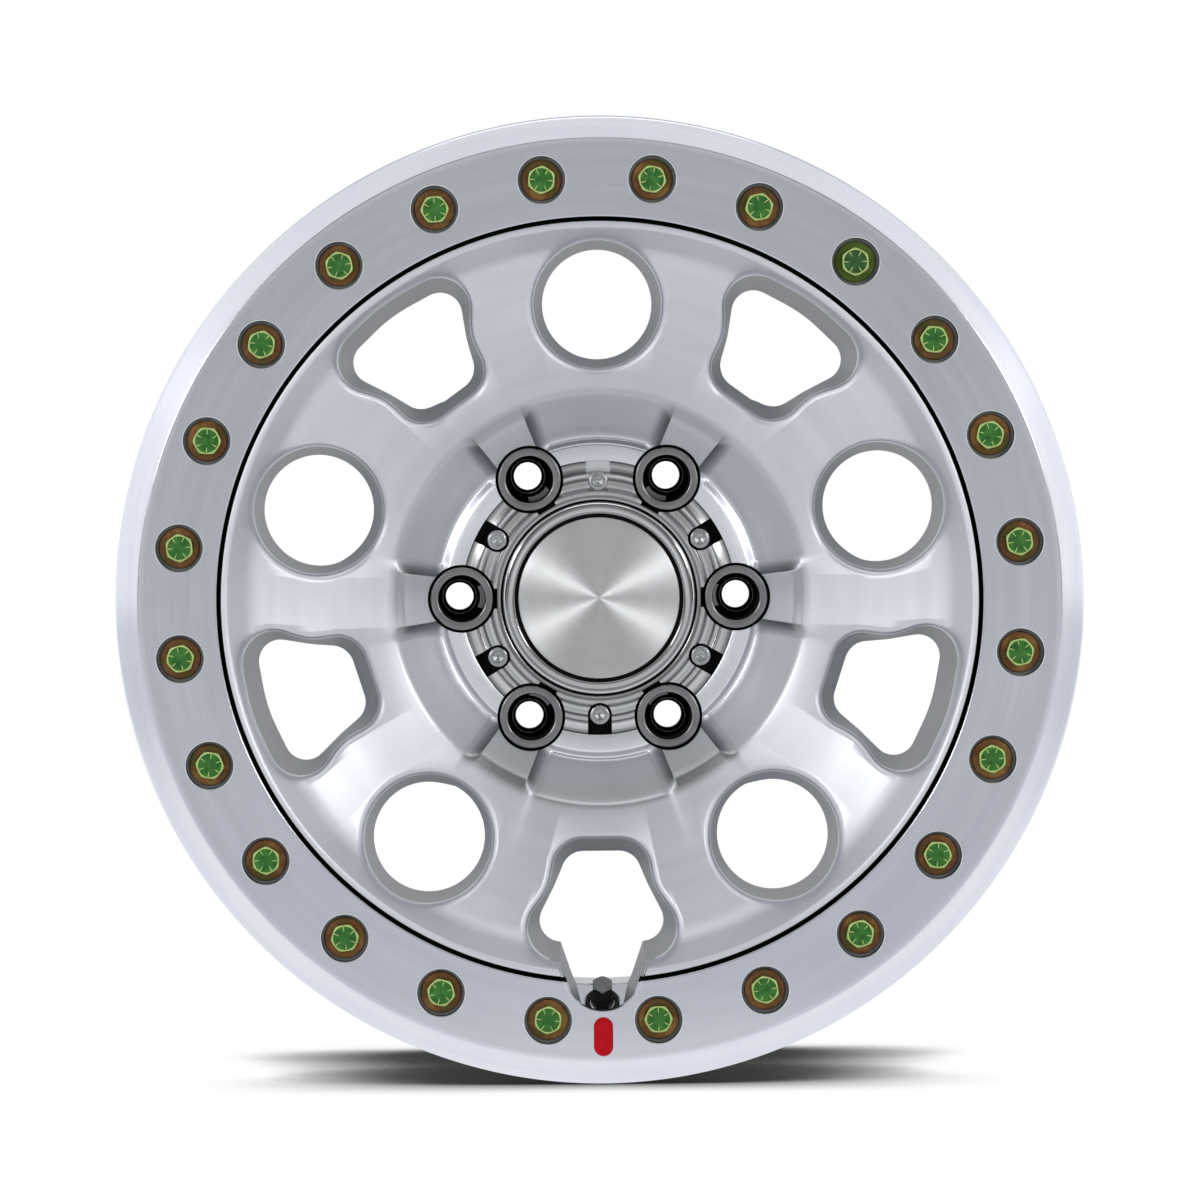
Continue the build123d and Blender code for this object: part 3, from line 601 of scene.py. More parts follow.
def makeSleeve(number):
    # the conical seat is (seat top - seat bottom) / tan(seat angle) deep, and its rows are shifted to the
    # stud's axis, which leaves a crescent of ledge
    s = sleeve
    shift = lugCircle["studRadius"] - lugCircle["radius"]
    steep = math.tan(math.radians(s["seatAngle"]))
    seatLow = s["seatZ"] - (s["seatTop"] - s["seatBottom"]) / steep
    top = roundedOutline([(s["outer"], s["bottomZ"], 0), (s["outer"], s["topZ"], 0.7),
                          (s["inner"], s["topZ"], 0.8), (s["inner"], s["seatZ"], 0)], 6, False)
    seat = [(s["seatTop"], s["seatZ"]), (s["seatBottom"] + s["edge"], seatLow + s["edge"] / steep),
            (s["seatBottom"], seatLow), (s["seatBottom"], s["bottomZ"])]
    shifts = np.concatenate([np.zeros(len(top)), np.full(len(seat), shift)])
    grid = lathe(np.vstack([top, seat]), evenAngles(96), shifts)
    body = gridMesh("sleeveDressed%d" % (number + 1),
                    [placedAt(grid, lugCircle["radius"], lugAngles[number])], closeRows=True)
    smoothShade(body, 35)
    return body


# the ring that holds the cap, and its screws
retainer = dict(bottomZ=60.0, outer=68.4, inner=48.9, flangeRoom=50.3, lipZ=63.9, landZ=71.0,
                landRadius=53.8, middleZ=69.2, grooveInner=59.0, grooveOuter=62.4, grooveDepth=1.3,
                edgeZ=67.0, screwPocket=6.0, screwSeat=63.5, keyHalf=5.0, keyDepth=0.8, keyFloor=65.0,
                keyEnd=63.4, lugPocket=17.0, channelHalf=5.98, channelEnd=66.0, cutLow=58.0, cutTop=75.0)
screw = dict(headRadius=5.0, headHeight=6.0, radius=3.0, length=14.0, socketFlats=5.0, socketDepth=3.2,
             turnStep=17.0)


def box(low, high):
    # a plain box as a four-sided tube
    x0, y0, z0 = low
    x1, y1, z1 = high
    return upright(np.array([(x0, y0), (x1, y0), (x1, y1), (x0, y1)], float), z0, z1)


def makeRetainer():
    r = retainer
    grooveZ, top = r["middleZ"] - r["grooveDepth"], r["cutTop"]
    corners = [(r["flangeRoom"], r["bottomZ"], 0), (r["flangeRoom"], r["lipZ"], 0),
               (r["inner"], r["lipZ"], 0), (r["inner"], r["landZ"], 0.6), (r["landRadius"], r["landZ"], 0.5),
               (r["landRadius"] + 0.8, r["middleZ"], 0.3), (r["grooveInner"], r["middleZ"], 0.35),
               (r["grooveInner"] + 0.6, grooveZ, 0.3), (r["grooveOuter"] - 0.6, grooveZ, 0.3),
               (r["grooveOuter"], r["middleZ"], 0.35), (r["outer"], r["edgeZ"], 0.4),
               (r["outer"], r["bottomZ"], 0)]
    body = gridMesh("retainerDressed", [lathe(roundedOutline(corners, 5), evenAngles(300))], closeRows=True)
    lug = roundCutter(r["lugPocket"], r["cutLow"], top, columns=96)
    keyStart = lugCircle["radius"] - r["lugPocket"] - r["keyDepth"]
    key = box((keyStart, -r["keyHalf"], r["keyFloor"]), (r["keyEnd"], r["keyHalf"], top))
    pocket = roundCutter(r["screwPocket"], r["screwSeat"], top, columns=48)
    past = screwCircle["radius"] + screw["headRadius"] + 0.5
    drop = box((past, -r["screwPocket"], r["cutLow"]), (r["outer"] + 1, r["screwPocket"], top))
    channel = box((screwCircle["radius"], -r["channelHalf"], r["screwSeat"]),
                  (r["channelEnd"], r["channelHalf"], top))
    cuts = [[placedAt(lug, lugCircle["radius"], angle) for angle in lugAngles],
            [turnedBy(key, angle) for angle in lugAngles],
            [placedAt(pocket, screwCircle["radius"], angle) for angle in screwAngles],
            [turnedBy(drop, angle) for angle in screwAngles],
            [turnedBy(channel, angle) for angle in screwAngles]]
    carve(body, [gridMesh("retainerCut", cut) for cut in cuts])
    smoothShade(body, 30)
    return body


def makeScrews():
    # rows from the shank's tip over the head and down into the hexagonal socket, whose radius is
    # flats / 2 / cos(angle from a flat)
    s = screw
    angles = evenAngles(48)
    hexagon = s["socketFlats"] / 2 / np.cos(np.radians((angles + 30) % 60 - 30))
    seat, head = retainer["screwSeat"], s["headRadius"]
    low, top = seat - s["length"], seat + s["headHeight"]
    floor = top - s["socketDepth"]
    plain = [(0.001, low), (s["radius"] - 0.5, low), (s["radius"], low + 0.5), (s["radius"], seat),
             (head, seat), (head, top - 0.8), (head - 0.1, top - 0.4), (head - 0.4, top - 0.1),
             (head - 0.8, top)]
    radius = [np.full_like(angles, r) for r, z in plain]
    radius = np.array(radius + [hexagon + 0.25, hexagon, hexagon, hexagon * 0.5, hexagon * 0.001])
    height = np.array([z for r, z in plain] + [top, top - 0.25, floor, floor - 0.5, floor - 1.0])
    grids = []
    for number, angle in enumerate(screwAngles):
        turn = np.radians(angles + s["turnStep"] * number)
        grid = np.stack([radius * np.cos(turn), radius * np.sin(turn), np.repeat(height[:, None], 48, 1)],
                        -1)
        grids.append(placedAt(grid, screwCircle["radius"], angle))
    body = gridMesh("screwsDressed", grids)
    smoothShade(body, 35)
    return body


# the centre cap
cap = dict(outer=48.3, flange=50.0, seatZ=60.0, flangeTopZ=63.6, frontZ=72.5, bezelInner=42.0, wall=3.0,
           inward=1.3, diskRadius=40.3, diskBottomZ=69.5, diskTopZ=71.5, sealRadius=47.0, sealSection=1.2)


def makeCapShell():
    c = cap
    inner = c["outer"] - c["wall"]
    groove = c["sealSection"] + 0.1
    grooveTop = c["seatZ"] + 2 * c["sealSection"] + 0.1
    under = c["diskBottomZ"] - c["wall"]
    corners = [(inner - c["inward"], c["seatZ"], 0), (c["sealRadius"] - groove, c["seatZ"], 0),
               (c["sealRadius"] - groove, grooveTop, 0), (c["sealRadius"] + groove, grooveTop, 0),
               (c["sealRadius"] + groove, c["seatZ"], 0), (c["flange"], c["seatZ"], 0.3),
               (c["flange"], c["flangeTopZ"], 0.3), (c["outer"], c["flangeTopZ"], 0.3),
               (c["outer"], c["frontZ"], 1.9), (c["bezelInner"], c["frontZ"], 1.1),
               (c["bezelInner"], c["diskBottomZ"], 0.3), (0.001, c["diskBottomZ"], 0), (0.001, under, 0),
               (inner, under, 1.5), (inner, c["flangeTopZ"], 0.3),
               (inner - c["inward"], c["flangeTopZ"], 0.3)]
    body = gridMesh("capDressed", [lathe(roundedOutline(corners, 8), evenAngles(256))], closeRows=True)
    smoothShade(body, 30)
    return body


def makeCapDisk():
    c = cap
    edge = roundedOutline([(0.001, c["diskBottomZ"], 0), (c["diskRadius"], c["diskBottomZ"], 0),
                           (c["diskRadius"], c["diskTopZ"], 0.5), (0.001, c["diskTopZ"], 0)], 6, False)
    body = gridMesh("diskDressed", [lathe(refined(edge, 2.5, False), evenAngles(256))])
    smoothShade(body, 30)
    return body


def smoothCopy(nodeName, name, sharpAngle):
    # a copy of a plain node with its loose triangles joined, so that its rounds shade smoothly
    thing = addObject(name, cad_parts[nodeName].data.copy())
    cleanMesh(thing, 5e-7)
    smoothShade(thing, sharpAngle)
    return thing


# materials
def startMaterial(name, color, roughness, metallic=1.0, **sockets):
    material = bpy.data.materials.new(name)
    material.use_nodes = True
    tree = material.node_tree
    shader = tree.nodes["Principled BSDF"]
    shader.inputs["Base Color"].default_value = (*color, 1)
    shader.inputs["Roughness"].default_value = roughness
    shader.inputs["Metallic"].default_value = metallic
    for socket, value in sockets.items():
        shader.inputs[socket.replace("_", " ")].default_value = value
    return material, tree, shader


def node(tree, kind, settings=None, **inputs):
    # a new node whose inputs, by name or as underscore and number, are linked or set
    new = tree.nodes.new("ShaderNode" + kind)
    for key, value in (settings or {}).items():
        setattr(new, key, value)
    for key, value in inputs.items():
        socket = new.inputs[int(key[1:])] if key[1:].isdigit() else new.inputs[key.replace("_", " ")]
        if isinstance(value, bpy.types.NodeSocket):
            tree.links.new(value, socket)
        else:
            socket.default_value = value
    return new


def maths(tree, operation, *values):
    inputs = {"_%d" % number: value for number, value in enumerate(values)}
    return node(tree, "Math", {"operation": operation}, **inputs).outputs[0]


def ramp(tree, factor, stops):
    # stops of (place, colour), where one number stands for a grey
    new = node(tree, "ValToRGB", None, Fac=factor)
    elements = new.color_ramp.elements
    for number, (place, color) in enumerate(stops):
        element = elements[number] if number < 2 else elements.new(place)
        element.position = place
        element.color = (*color, 1) if isinstance(color, tuple) else (color, color, color, 1)
    return new.outputs["Color"]


def mixed(tree, factor, first, second, blend="MIX"):
    settings = {"data_type": "RGBA", "blend_type": blend}
    return node(tree, "Mix", settings, _0=factor, _6=first, _7=second).outputs[2]


def vector(tree, operation, *values):
    inputs = {"_%d" % number: value for number, value in enumerate(values)}
    return node(tree, "VectorMath", {"operation": operation}, **inputs).outputs["Vector"]


def noise(tree, place, scale, detail, roughness=0.5):
    new = node(tree, "TexNoise", None, Vector=place, Scale=scale, Detail=detail, Roughness=roughness)
    return new.outputs["Fac"]


def objectPlace(tree):
    return node(tree, "TexCoord").outputs["Object"]


def attribute(tree, name):
    return node(tree, "Attribute", {"attribute_name": name}).outputs["Fac"]


def finishShader(tree, shader, color, roughness, height, strength):
    # the colour and roughness are linked, and a fine relief is laid over the surface
    tree.links.new(color, shader.inputs["Base Color"])
    if roughness:
        tree.links.new(roughness, shader.inputs["Roughness"])
    bump = node(tree, "Bump", None, Height=height, Strength=strength, Distance=0.0002).outputs["Normal"]
    tree.links.new(bump, shader.inputs["Normal"])


def turnedPlaces(tree):
    # radius from the wheel's axis, the direction outwards, and the way along the turned section
    place = objectPlace(tree)
    flat = vector(tree, "MULTIPLY", place, (1, 0, 1))
    radius = node(tree, "VectorMath", {"operation": "LENGTH"}, _0=flat).outputs["Value"]
    height = node(tree, "SeparateXYZ", None, _0=place).outputs["Y"]
    along = maths(tree, "ADD", maths(tree, "MULTIPLY", radius, 1000.0),
                  maths(tree, "MULTIPLY", height, 700.0))
    return place, radius, vector(tree, "NORMALIZE", flat), along


def turnedMetal(name, color, roughness, anisotropic, grooves, paintedBands=None, polished=None, coveShadeColor=None):
    # fine grooves run round the axis, and the highlight spreads across them
    material, tree, shader = startMaterial(name, color, roughness, Anisotropic=anisotropic)
    place, radius, outwards, along = turnedPlaces(tree)
    tree.links.new(outwards, shader.inputs["Tangent"])
    parts = node(tree, "SeparateXYZ", None, _0=outwards)
    stretched = node(tree, "CombineXYZ", None, X=maths(tree, "MULTIPLY", parts.outputs["X"], 2.2),
                     Y=maths(tree, "MULTIPLY", parts.outputs["Z"], 2.2),
                     Z=maths(tree, "MULTIPLY", along, 1.6)).outputs[0]
    fine = noise(tree, stretched, 1.0, 3.0, 0.6)
    broad = noise(tree, vector(tree, "MULTIPLY", stretched, (1.0, 1.0, 0.09)), 1.0, 2.0)
    worn = noise(tree, place, 14.0, 4.0)
    tone = maths(tree, "ADD", maths(tree, "MULTIPLY", broad, 0.6), maths(tree, "MULTIPLY", worn, 0.4))
    low = tuple(c * 0.93 for c in color)
    high = tuple(min(1, c * 1.05) for c in color)
    shade = ramp(tree, tone, [(0.3, low), (0.7, high)])
    if paintedBands:
        # painted shade and painted highlight: (radius in metres, tone) pairs that darken or lighten whole
        # turned bands, as dark lines in creases, a darker bowl and a lighter chamfer
        spread = paintedBands[-1][0]
        bands = ramp(tree, maths(tree, "DIVIDE", radius, spread), [(r / spread, t) for r, t in paintedBands])
        shade = mixed(tree, 1.0, shade, bands, "MULTIPLY")
    rough = maths(tree, "ADD", maths(tree, "MULTIPLY", fine, 0.08), roughness - 0.04)
    if polished:
        # within a radius the metal is shinier
        limit, polishedRoughness = polished
        outside = node(tree, "MapRange", None, Value=radius, From_Min=limit - 0.002, From_Max=limit + 0.003,
                       To_Min=0.0, To_Max=1.0).outputs[0]
        shine = maths(tree, "ADD", maths(tree, "MULTIPLY", fine, 0.05), polishedRoughness - 0.02)
        rough = node(tree, "Mix", None, _0=outside, _2=shine, _3=rough).outputs[0]
    if coveShadeColor:
        # painted shade: the coves are darkened towards the given colour, and also made rougher
        dullAndShade = attribute(tree, "dullAndShade")
        shade = mixed(tree, maths(tree, "MULTIPLY", dullAndShade, 0.9), shade, (*coveShadeColor, 1))
        rough = node(tree, "Mix", None, _0=dullAndShade, _2=rough, _3=0.45).outputs[0]
    finishShader(tree, shader, shade, rough, fine, grooves)
    return material


def plainMetal(name, color, roughness, metallic=1.0, scale=60.0, contrast=0.12, bumpStrength=0.05,
               **sockets):
    # an even metal or coating with a cloudy tone and a fine grain
    material, tree, shader = startMaterial(name, color, roughness, metallic, **sockets)
    place = objectPlace(tree)
    cloud = noise(tree, place, scale, 5.0, 0.6)
    low = tuple(c * (1 - contrast) for c in color)
    high = tuple(min(1, c * (1 + contrast)) for c in color)
    rough = maths(tree, "ADD", maths(tree, "MULTIPLY", cloud, 0.12), roughness - 0.06)
    shade = ramp(tree, cloud, [(0.35, low), (0.65, high)])
    finishShader(tree, shader, shade, rough, noise(tree, place, scale * 30, 2.0), bumpStrength)
    return material


def coatedBolt():
    # green coating, paler at the crown's edges and on the marks, and one darker bolt
    material, tree, shader = startMaterial("boltGreen", (0.05, 0.2, 0.05), 0.4, 0.25,
                                           Specular_IOR_Level=0.25)
    cloud = noise(tree, objectPlace(tree), 260.0, 4.0)
    green = ramp(tree, cloud, [(0.32, (0.02, 0.105, 0.018)), (0.66, (0.055, 0.215, 0.04))])
    olive = ramp(tree, cloud, [(0.32, (0.02, 0.07, 0.02)), (0.66, (0.05, 0.14, 0.035))])
    coat = mixed(tree, attribute(tree, "dark"), green, olive)
    worn = mixed(tree, maths(tree, "MULTIPLY", attribute(tree, "pale"), 0.95), coat, (0.62, 0.76, 0.26, 1))
    finishShader(tree, shader, worn, None, cloud, 0.1)
    return material


def platedWasher():
    # clouds of gold, red-brown and olive, and one green washer
    material, tree, shader = startMaterial("washerGold", (0.25, 0.14, 0.03), 0.42, 0.7)
    cloud = noise(tree, objectPlace(tree), 70.0, 4.0, 0.6)
    gold = ramp(tree, cloud,
                [(0.36, (0.11, 0.095, 0.02)), (0.5, (0.2, 0.085, 0.03)), (0.64, (0.34, 0.19, 0.05))])
    green = ramp(tree, cloud, [(0.3, (0.05, 0.09, 0.01)), (0.7, (0.12, 0.19, 0.025))])
    finishShader(tree, shader, mixed(tree, attribute(tree, "dark"), gold, green), None, cloud, 0.08)
    return material


def dress(thing, material, slotName, *nodes):
    # a finished piece gets its material, and the nodes it stands for are hidden; the slot name is not used
    thing.data.materials.clear()
    for one in material if isinstance(material, tuple) else (material,):
        thing.data.materials.append(one)
    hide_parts(*nodes)
    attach(thing, "root")


def faceVectors(thing, kind):
    values = np.zeros(len(thing.data.polygons) * 3, np.float32)
    thing.data.polygons.foreach_get(kind, values)
    return values.reshape(-1, 3)


def faceTable(thing):
    # each face's middle and radius, in millimetres and in the model's own axes, and how it faces the front
    middle = faceVectors(thing, "center") * 1000
    x, y, z = middle[:, 0], middle[:, 2], -middle[:, 1]
    return x, y, z, np.hypot(x, y), -faceVectors(thing, "normal")[:, 1]


def markFaces(thing, *tests):
    # the faces of each test take the next material
    number = np.zeros(len(thing.data.polygons), np.int32)
    for index, test in enumerate(tests):
        number[test] = index + 1
    thing.data.polygons.foreach_set("material_index", number)


marks = dict(wallFrom=112.0, wallTo=186.0, wallDepth=3.4, wallLowZ=66.0, pocketHalf=27.0, pocketV=172.0,
             pocketLowZ=58.0, underFrom=55.0, underTo=87.0, underLowZ=5.0, dropAside=6.6, topPocket=20.0,
             level=0.1)


def markCasting(thing):
    # milled walls, then painted shadow where there is shade: the gap to the ring, below the retainer and
    # beside its screws
    m, c = marks, casting
    x, y, z, radius, front = faceTable(thing)
    depth = frontHeight(radius) - z
    onSeat = np.abs(z - c["seatZ"]) < m["level"]
    wall = (radius > m["wallFrom"]) & (radius < m["wallTo"]) & (depth > m["wallDepth"])
    wall &= (np.abs(front) < 0.75) & (z > m["wallLowZ"])
    pocket = (np.abs(x) < m["pocketHalf"]) & (y < -m["pocketV"])
    pocket &= (z > m["pocketLowZ"]) & (np.abs(front) < 0.3)
    gap = (radius > c["registerRadius"] - 0.6) & (radius < ring["innerRadius"] - 0.1)
    gap &= (z > c["seatPlaneZ"] - 1) & (z < c["lipZ"] - 0.2) & (front < 0.9)
    gap |= (radius > c["registerRadius"]) & (radius < 192) & (np.abs(z - c["seatPlaneZ"]) < m["level"])
    under = (z < c["seatZ"] - 0.1) & (z > m["underLowZ"]) & (front > -0.5)
    under &= (radius > m["underFrom"]) & (radius < m["underTo"])
    angle = np.degrees(np.arctan2(y, x))
    aside = np.radians(np.abs(angle % 60 - 30)) * radius
    drop = onSeat & (radius > c["seatSupport"])
    drop &= (aside < m["dropAside"]) & (np.abs(angle - 90) > m["topPocket"])
    turned = np.radians((angle + 30) % 60 - 30)
    fromLug = np.hypot(radius * np.cos(turned) - lugCircle["radius"], radius * np.sin(turned))
    under |= onSeat & (fromLug < lugPocket["radius"])
    markFaces(thing, wall | pocket, gap | under | drop)


def shadeCoves(thing):
    # painted shade beside each ramp, where the cove lies in the ramp's shade, and a rougher finish there: 1
    # at the ridge, falling to 0 across the cove, and fading out over 8 mm towards the bowl's rim
    mesh = thing.data
    place = np.zeros(len(mesh.vertices) * 3, np.float32)
    mesh.vertices.foreach_get("co", place)
    place = place.reshape(-1, 3) * 1000
    radius = np.hypot(place[:, 0], place[:, 2])
    way = coveWay(radius, np.degrees(np.arctan2(place[:, 2], place[:, 0])))
    dullAndShade = np.clip(1 - way / ramps["coveWidth"], 0, 1) * (way > 0.05)
    dullAndShade = dullAndShade * np.clip((104 - radius) / 8, 0, 1) * (radius > casting["padRadius"] + 0.3)
    mesh.attributes.new("dullAndShade", "FLOAT", "POINT").data.foreach_set("value", dullAndShade.astype(np.float32))


def markRing(thing):
    # painted shade on the counterbores' walls, then painted shadow in the gap to the casting
    r = ring
    x, y, z, radius, front = faceTable(thing)
    wallTo = r["innerRadius"] + 0.3
    gap = (radius < wallTo) & (z < r["frontZ"] - 0.5) & (front < 0.8)
    onNotch = np.abs(np.hypot(x, y + r["notchV"]) - r["notchRadius"]) < 1.3
    bore = (radius > wallTo) & (radius < boltCircle["radius"] + 16) & ~onNotch
    bore &= (z < r["frontZ"] - 0.85) & (z > r["seatZ"] - 3) & (np.abs(z - r["seatZ"]) > 0.2)
    markFaces(thing, bore, gap)


def markRetainer(thing):
    # the floors beside the screw heads and the key slots lie in shade, apart from the pocket at the top
    x, y, z, radius = faceTable(thing)[:4]
    angle = np.degrees(np.arctan2(y, x))
    fromScrew = np.abs(angle % 60 - 30)
    aside = np.radians(fromScrew) * radius
    beside = (aside < 6.3) & (z < 67.4) & (radius > 52) & (np.abs(angle - 90) > marks["topPocket"])
    key = (np.radians(30 - fromScrew) * radius < 5.2) & (z < 70.6) & (radius < 53.5) & (radius > 50.4)
    markFaces(thing, beside | key)


def markCap(thing):
    # painted shadow in the groove round the disk and in the gap to the retainer
    z, radius = faceTable(thing)[2:4]
    groove = (radius < cap["bezelInner"] + 0.2) & (z > cap["diskBottomZ"] - 0.2) & (z < cap["frontZ"] - 0.5)
    markFaces(thing, groove | ((radius > cap["outer"] - 0.2) & (z < cap["frontZ"] - 1.2)))


def markSleeve(thing, number):
    # painted shadow in the bore, apart from the side towards the hub and the seat's inner edge
    s = sleeve
    x, y, z = faceTable(thing)[:3]
    a = math.radians(lugAngles[number])
    across = x * math.cos(a) + y * math.sin(a) - lugCircle["radius"]
    along = -x * math.sin(a) + y * math.cos(a)
    inside = (np.hypot(across, along) < s["inner"] + 0.15) & (z < s["topZ"] - 0.6)
    lit = (np.abs(np.degrees(np.arctan2(along, -across))) < 32) & (z < 40)
    fromStud = np.hypot(across - lugCircle["studRadius"] + lugCircle["radius"], along)
    edge = (fromStud > s["seatBottom"] + 0.05) & (fromStud < s["seatBottom"] + s["edge"]) & (z > 20)
    markFaces(thing, inside & ~lit & ~edge)


def markValveCap(thing):
    # only the end of the cap is bare: the faces that look along the valve's axis
    facing = faceVectors(thing, "normal")
    tilt = math.radians(valve["tilt"])
    markFaces(thing, facing[:, 2] * math.sin(tilt) - facing[:, 1] * math.cos(tilt) < 0.6)


# painted shade: the bands darken the bowl below the face, and the last colour darkens the coves beside the
# ramps
faceMetal = turnedMetal("turnedAluminium", (0.845, 0.875, 0.935), 0.42, 0.45, 0.05,
                        [(0.0, 1.0), (0.0803, 1.0), (0.082, 0.58), (0.0875, 0.66), (0.1015, 0.57),
                         (0.106, 0.8), (0.15, 0.88), (0.172, 0.9), (0.24, 0.9)], (0.1035, 0.25),
                         (0.09, 0.092, 0.1))
# painted highlight: the outer chamfer's band is lighter than the face
ringMetal = turnedMetal("ringAluminium", (0.84, 0.865, 0.955), 0.15, 0.3, 0.03,
                        [(0.0, 0.86), (0.226, 0.86), (0.2295, 1.06), (0.24, 1.06)])
wallMetal = plainMetal("milledWall", (0.36, 0.37, 0.385), 0.5, 0.85, 50.0, 0.08, 0.1)
# painted shade: dark lines at the retainer's steps, grooves and corners, between lighter bands
hubMetal = turnedMetal("hubAluminium", (0.80, 0.81, 0.83), 0.16, 0.3, 0.04,
                       [(0.0, 0.12), (0.0491, 0.12), (0.0496, 0.8), (0.0505, 0.3), (0.0512, 0.35),
                        (0.0518, 0.85), (0.0530, 0.7), (0.0536, 0.3), (0.0548, 0.35), (0.0556, 0.95),
                        (0.0572, 0.65), (0.0584, 0.8), (0.0588, 0.25), (0.0598, 0.3), (0.0604, 0.75),
                        (0.0612, 0.95), (0.0618, 0.9), (0.0623, 0.35), (0.0630, 0.4), (0.0638, 0.9),
                        (0.0660, 0.7), (0.0672, 0.35), (0.0684, 0.2)])
# painted shade: dark lines in the bezel's grooves and corners, between lighter bands
bezelMetal = turnedMetal("bezelPolish", (0.80, 0.81, 0.83), 0.09, 0.0, 0.02,
                         [(0.0, 0.1), (0.0418, 0.1), (0.0423, 0.35), (0.0430, 0.45), (0.0438, 0.95),
                          (0.0450, 0.85), (0.0457, 0.35), (0.0466, 0.45), (0.0473, 1.0), (0.0479, 0.6),
                          (0.0484, 0.1)])
diskMetal = turnedMetal("spunDisk", (0.69, 0.7, 0.71), 0.40, 0.95, 0.08)
sleeveMetal = plainMetal("sleeveSteel", (0.27, 0.27, 0.28), 0.24, 1.0, 80.0, 0.08, 0.03)
# painted shade on the walls and floors of the ring's counterbores
boreShade = plainMetal("boreWall", (0.20, 0.205, 0.215), 0.45, 0.85, 60.0, 0.1, 0.1)
# painted shadow: near-black, laid on the gaps, bores, pockets and floors that lie in shade
paintedShadow = plainMetal("gapShadow", (0.008, 0.008, 0.009), 0.8, 0.0, 60.0, 0.1, 0.05, Specular_IOR_Level=0.05)
capEnd = plainMetal("capEnd", (0.185, 0.19, 0.2), 0.5, 0.2, 200.0, 0.08, 0.03)
screwMetal = plainMetal("screwSteel", (0.42, 0.43, 0.45), 0.25, 1.0, 120.0, 0.15, 0.05)
boltPaint = coatedBolt()
washerPlate = platedWasher()
redEnamel = plainMetal("redEnamel", (0.52, 0.001, 0.007), 0.3, 0.0, 200.0, 0.1, 0.03,
                       Specular_IOR_Level=0.15)
blackRubber = plainMetal("blackRubber", (0.018, 0.018, 0.02), 0.6, 0.0, 200.0, 0.2, 0.15)
blackMetal = plainMetal("blackSatin", (0.03, 0.032, 0.035), 0.4, 0.3, 150.0, 0.2, 0.05)
brightSteel = plainMetal("brightSteel", (0.5, 0.51, 0.52), 0.3, 1.0, 150.0, 0.1, 0.05)
brassMetal = plainMetal("turnedBrass", (0.6, 0.42, 0.16), 0.3, 1.0, 150.0, 0.1, 0.05)
print("materials ready")

castingDressed = makeCasting()
smoothShade(castingDressed, 30)
shadeCoves(castingDressed)
dress(castingDressed, (faceMetal, wallMetal, paintedShadow), "machined_aluminium", "wheel_casting")
markCasting(castingDressed)
ringDressed = makeRing()
smoothShade(ringDressed, 30)
dress(ringDressed, (ringMetal, boreShade, paintedShadow), "machined_aluminium", "beadlock_ring")
markRing(ringDressed)
dress(makeBolts(), boltPaint, "green_plated_steel", "ring_bolts")
dress(makeWashers(), washerPlate, "gold_plated_steel", "ring_washers")
print("ring, bolts and washers dressed")
for number in range(lugCircle["count"]):
    lugSleeve = makeSleeve(number)
    dress(lugSleeve, (sleeveMetal, paintedShadow), "bare_steel", "lug_sleeve_%d" % (number + 1))
    markSleeve(lugSleeve, number)
retainerDressed = makeRetainer()
dress(retainerDressed, (hubMetal, paintedShadow), "machined_aluminium", "retainer_ring")
markRetainer(retainerDressed)
dress(makeScrews(), screwMetal, "bare_steel", "retainer_screws")
capDressed = makeCapShell()
dress(capDressed, (bezelMetal, paintedShadow), "polished_aluminium", "cap_shell")
markCap(capDressed)
dress(makeCapDisk(), diskMetal, "spun_aluminium", "cap_disc")
print("hub dressed")
for nodeName, name, material, slotName, sharpAngle in (
        ("marker_badge", "badgeDressed", redEnamel, "red_enamel", 32),
        ("valve_stem", "stemDressed", blackMetal, "black_metal", 32),
        ("valve_collar", "collarDressed", blackRubber, "black_rubber", 32),
        ("valve_washer", "valveWasherDressed", brightSteel, "bare_steel", 32),
        ("valve_nut", "nutDressed", blackMetal, "bare_steel", 32),
        ("valve_cap", "valveCapDressed", (capEnd, blackMetal), "bare_steel", 20),
        ("valve_grommet", "grommetDressed", blackRubber, "black_rubber", 32)):
    dress(smoothCopy(nodeName, name, sharpAngle), material, slotName, nodeName)
markValveCap(bpy.data.objects["valveCapDressed"])
for nodeName, material in (("thread_inserts", brightSteel), ("cap_seal", blackRubber),
                           ("valve_core", brassMetal)):
    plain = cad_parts[nodeName].data
    plain.materials.clear()
    plain.materials.append(material)
print("valve and badge dressed")

# floor, light and camera
studio = dict(floorZ=-0.2402, floorSize=9.0, floorTone=0.93, shadeReach=0.095, mirrored=0.85, below=0.86,
              front=(0.6, 0.61, 0.63), behind=0.9, sides=0.92, shade=0.2, ahead=0.9, overhead=0.5,
              plainSide=0.64, paleSide=1.0, darkSide=0.35, card=0.02, highCard=0.15)
view = dict(distance=4.8, elevation=1.4, left=0.65, roll=0.45, lens=283.7, aimDepth=-0.113, aimUp=0.0,
            aimAcross=0.0)
lamps = [("leftBox", (-1.35, -2.85, 0.626), 1.5, 0.32, -27, 13),
         ("rightBox", (1.42, -2.85, 0.626), 1.5, 0.32, 27, 13), ("topBox", (0, -1.6, 2.6), 2.0, 0.8, 0, 5)]


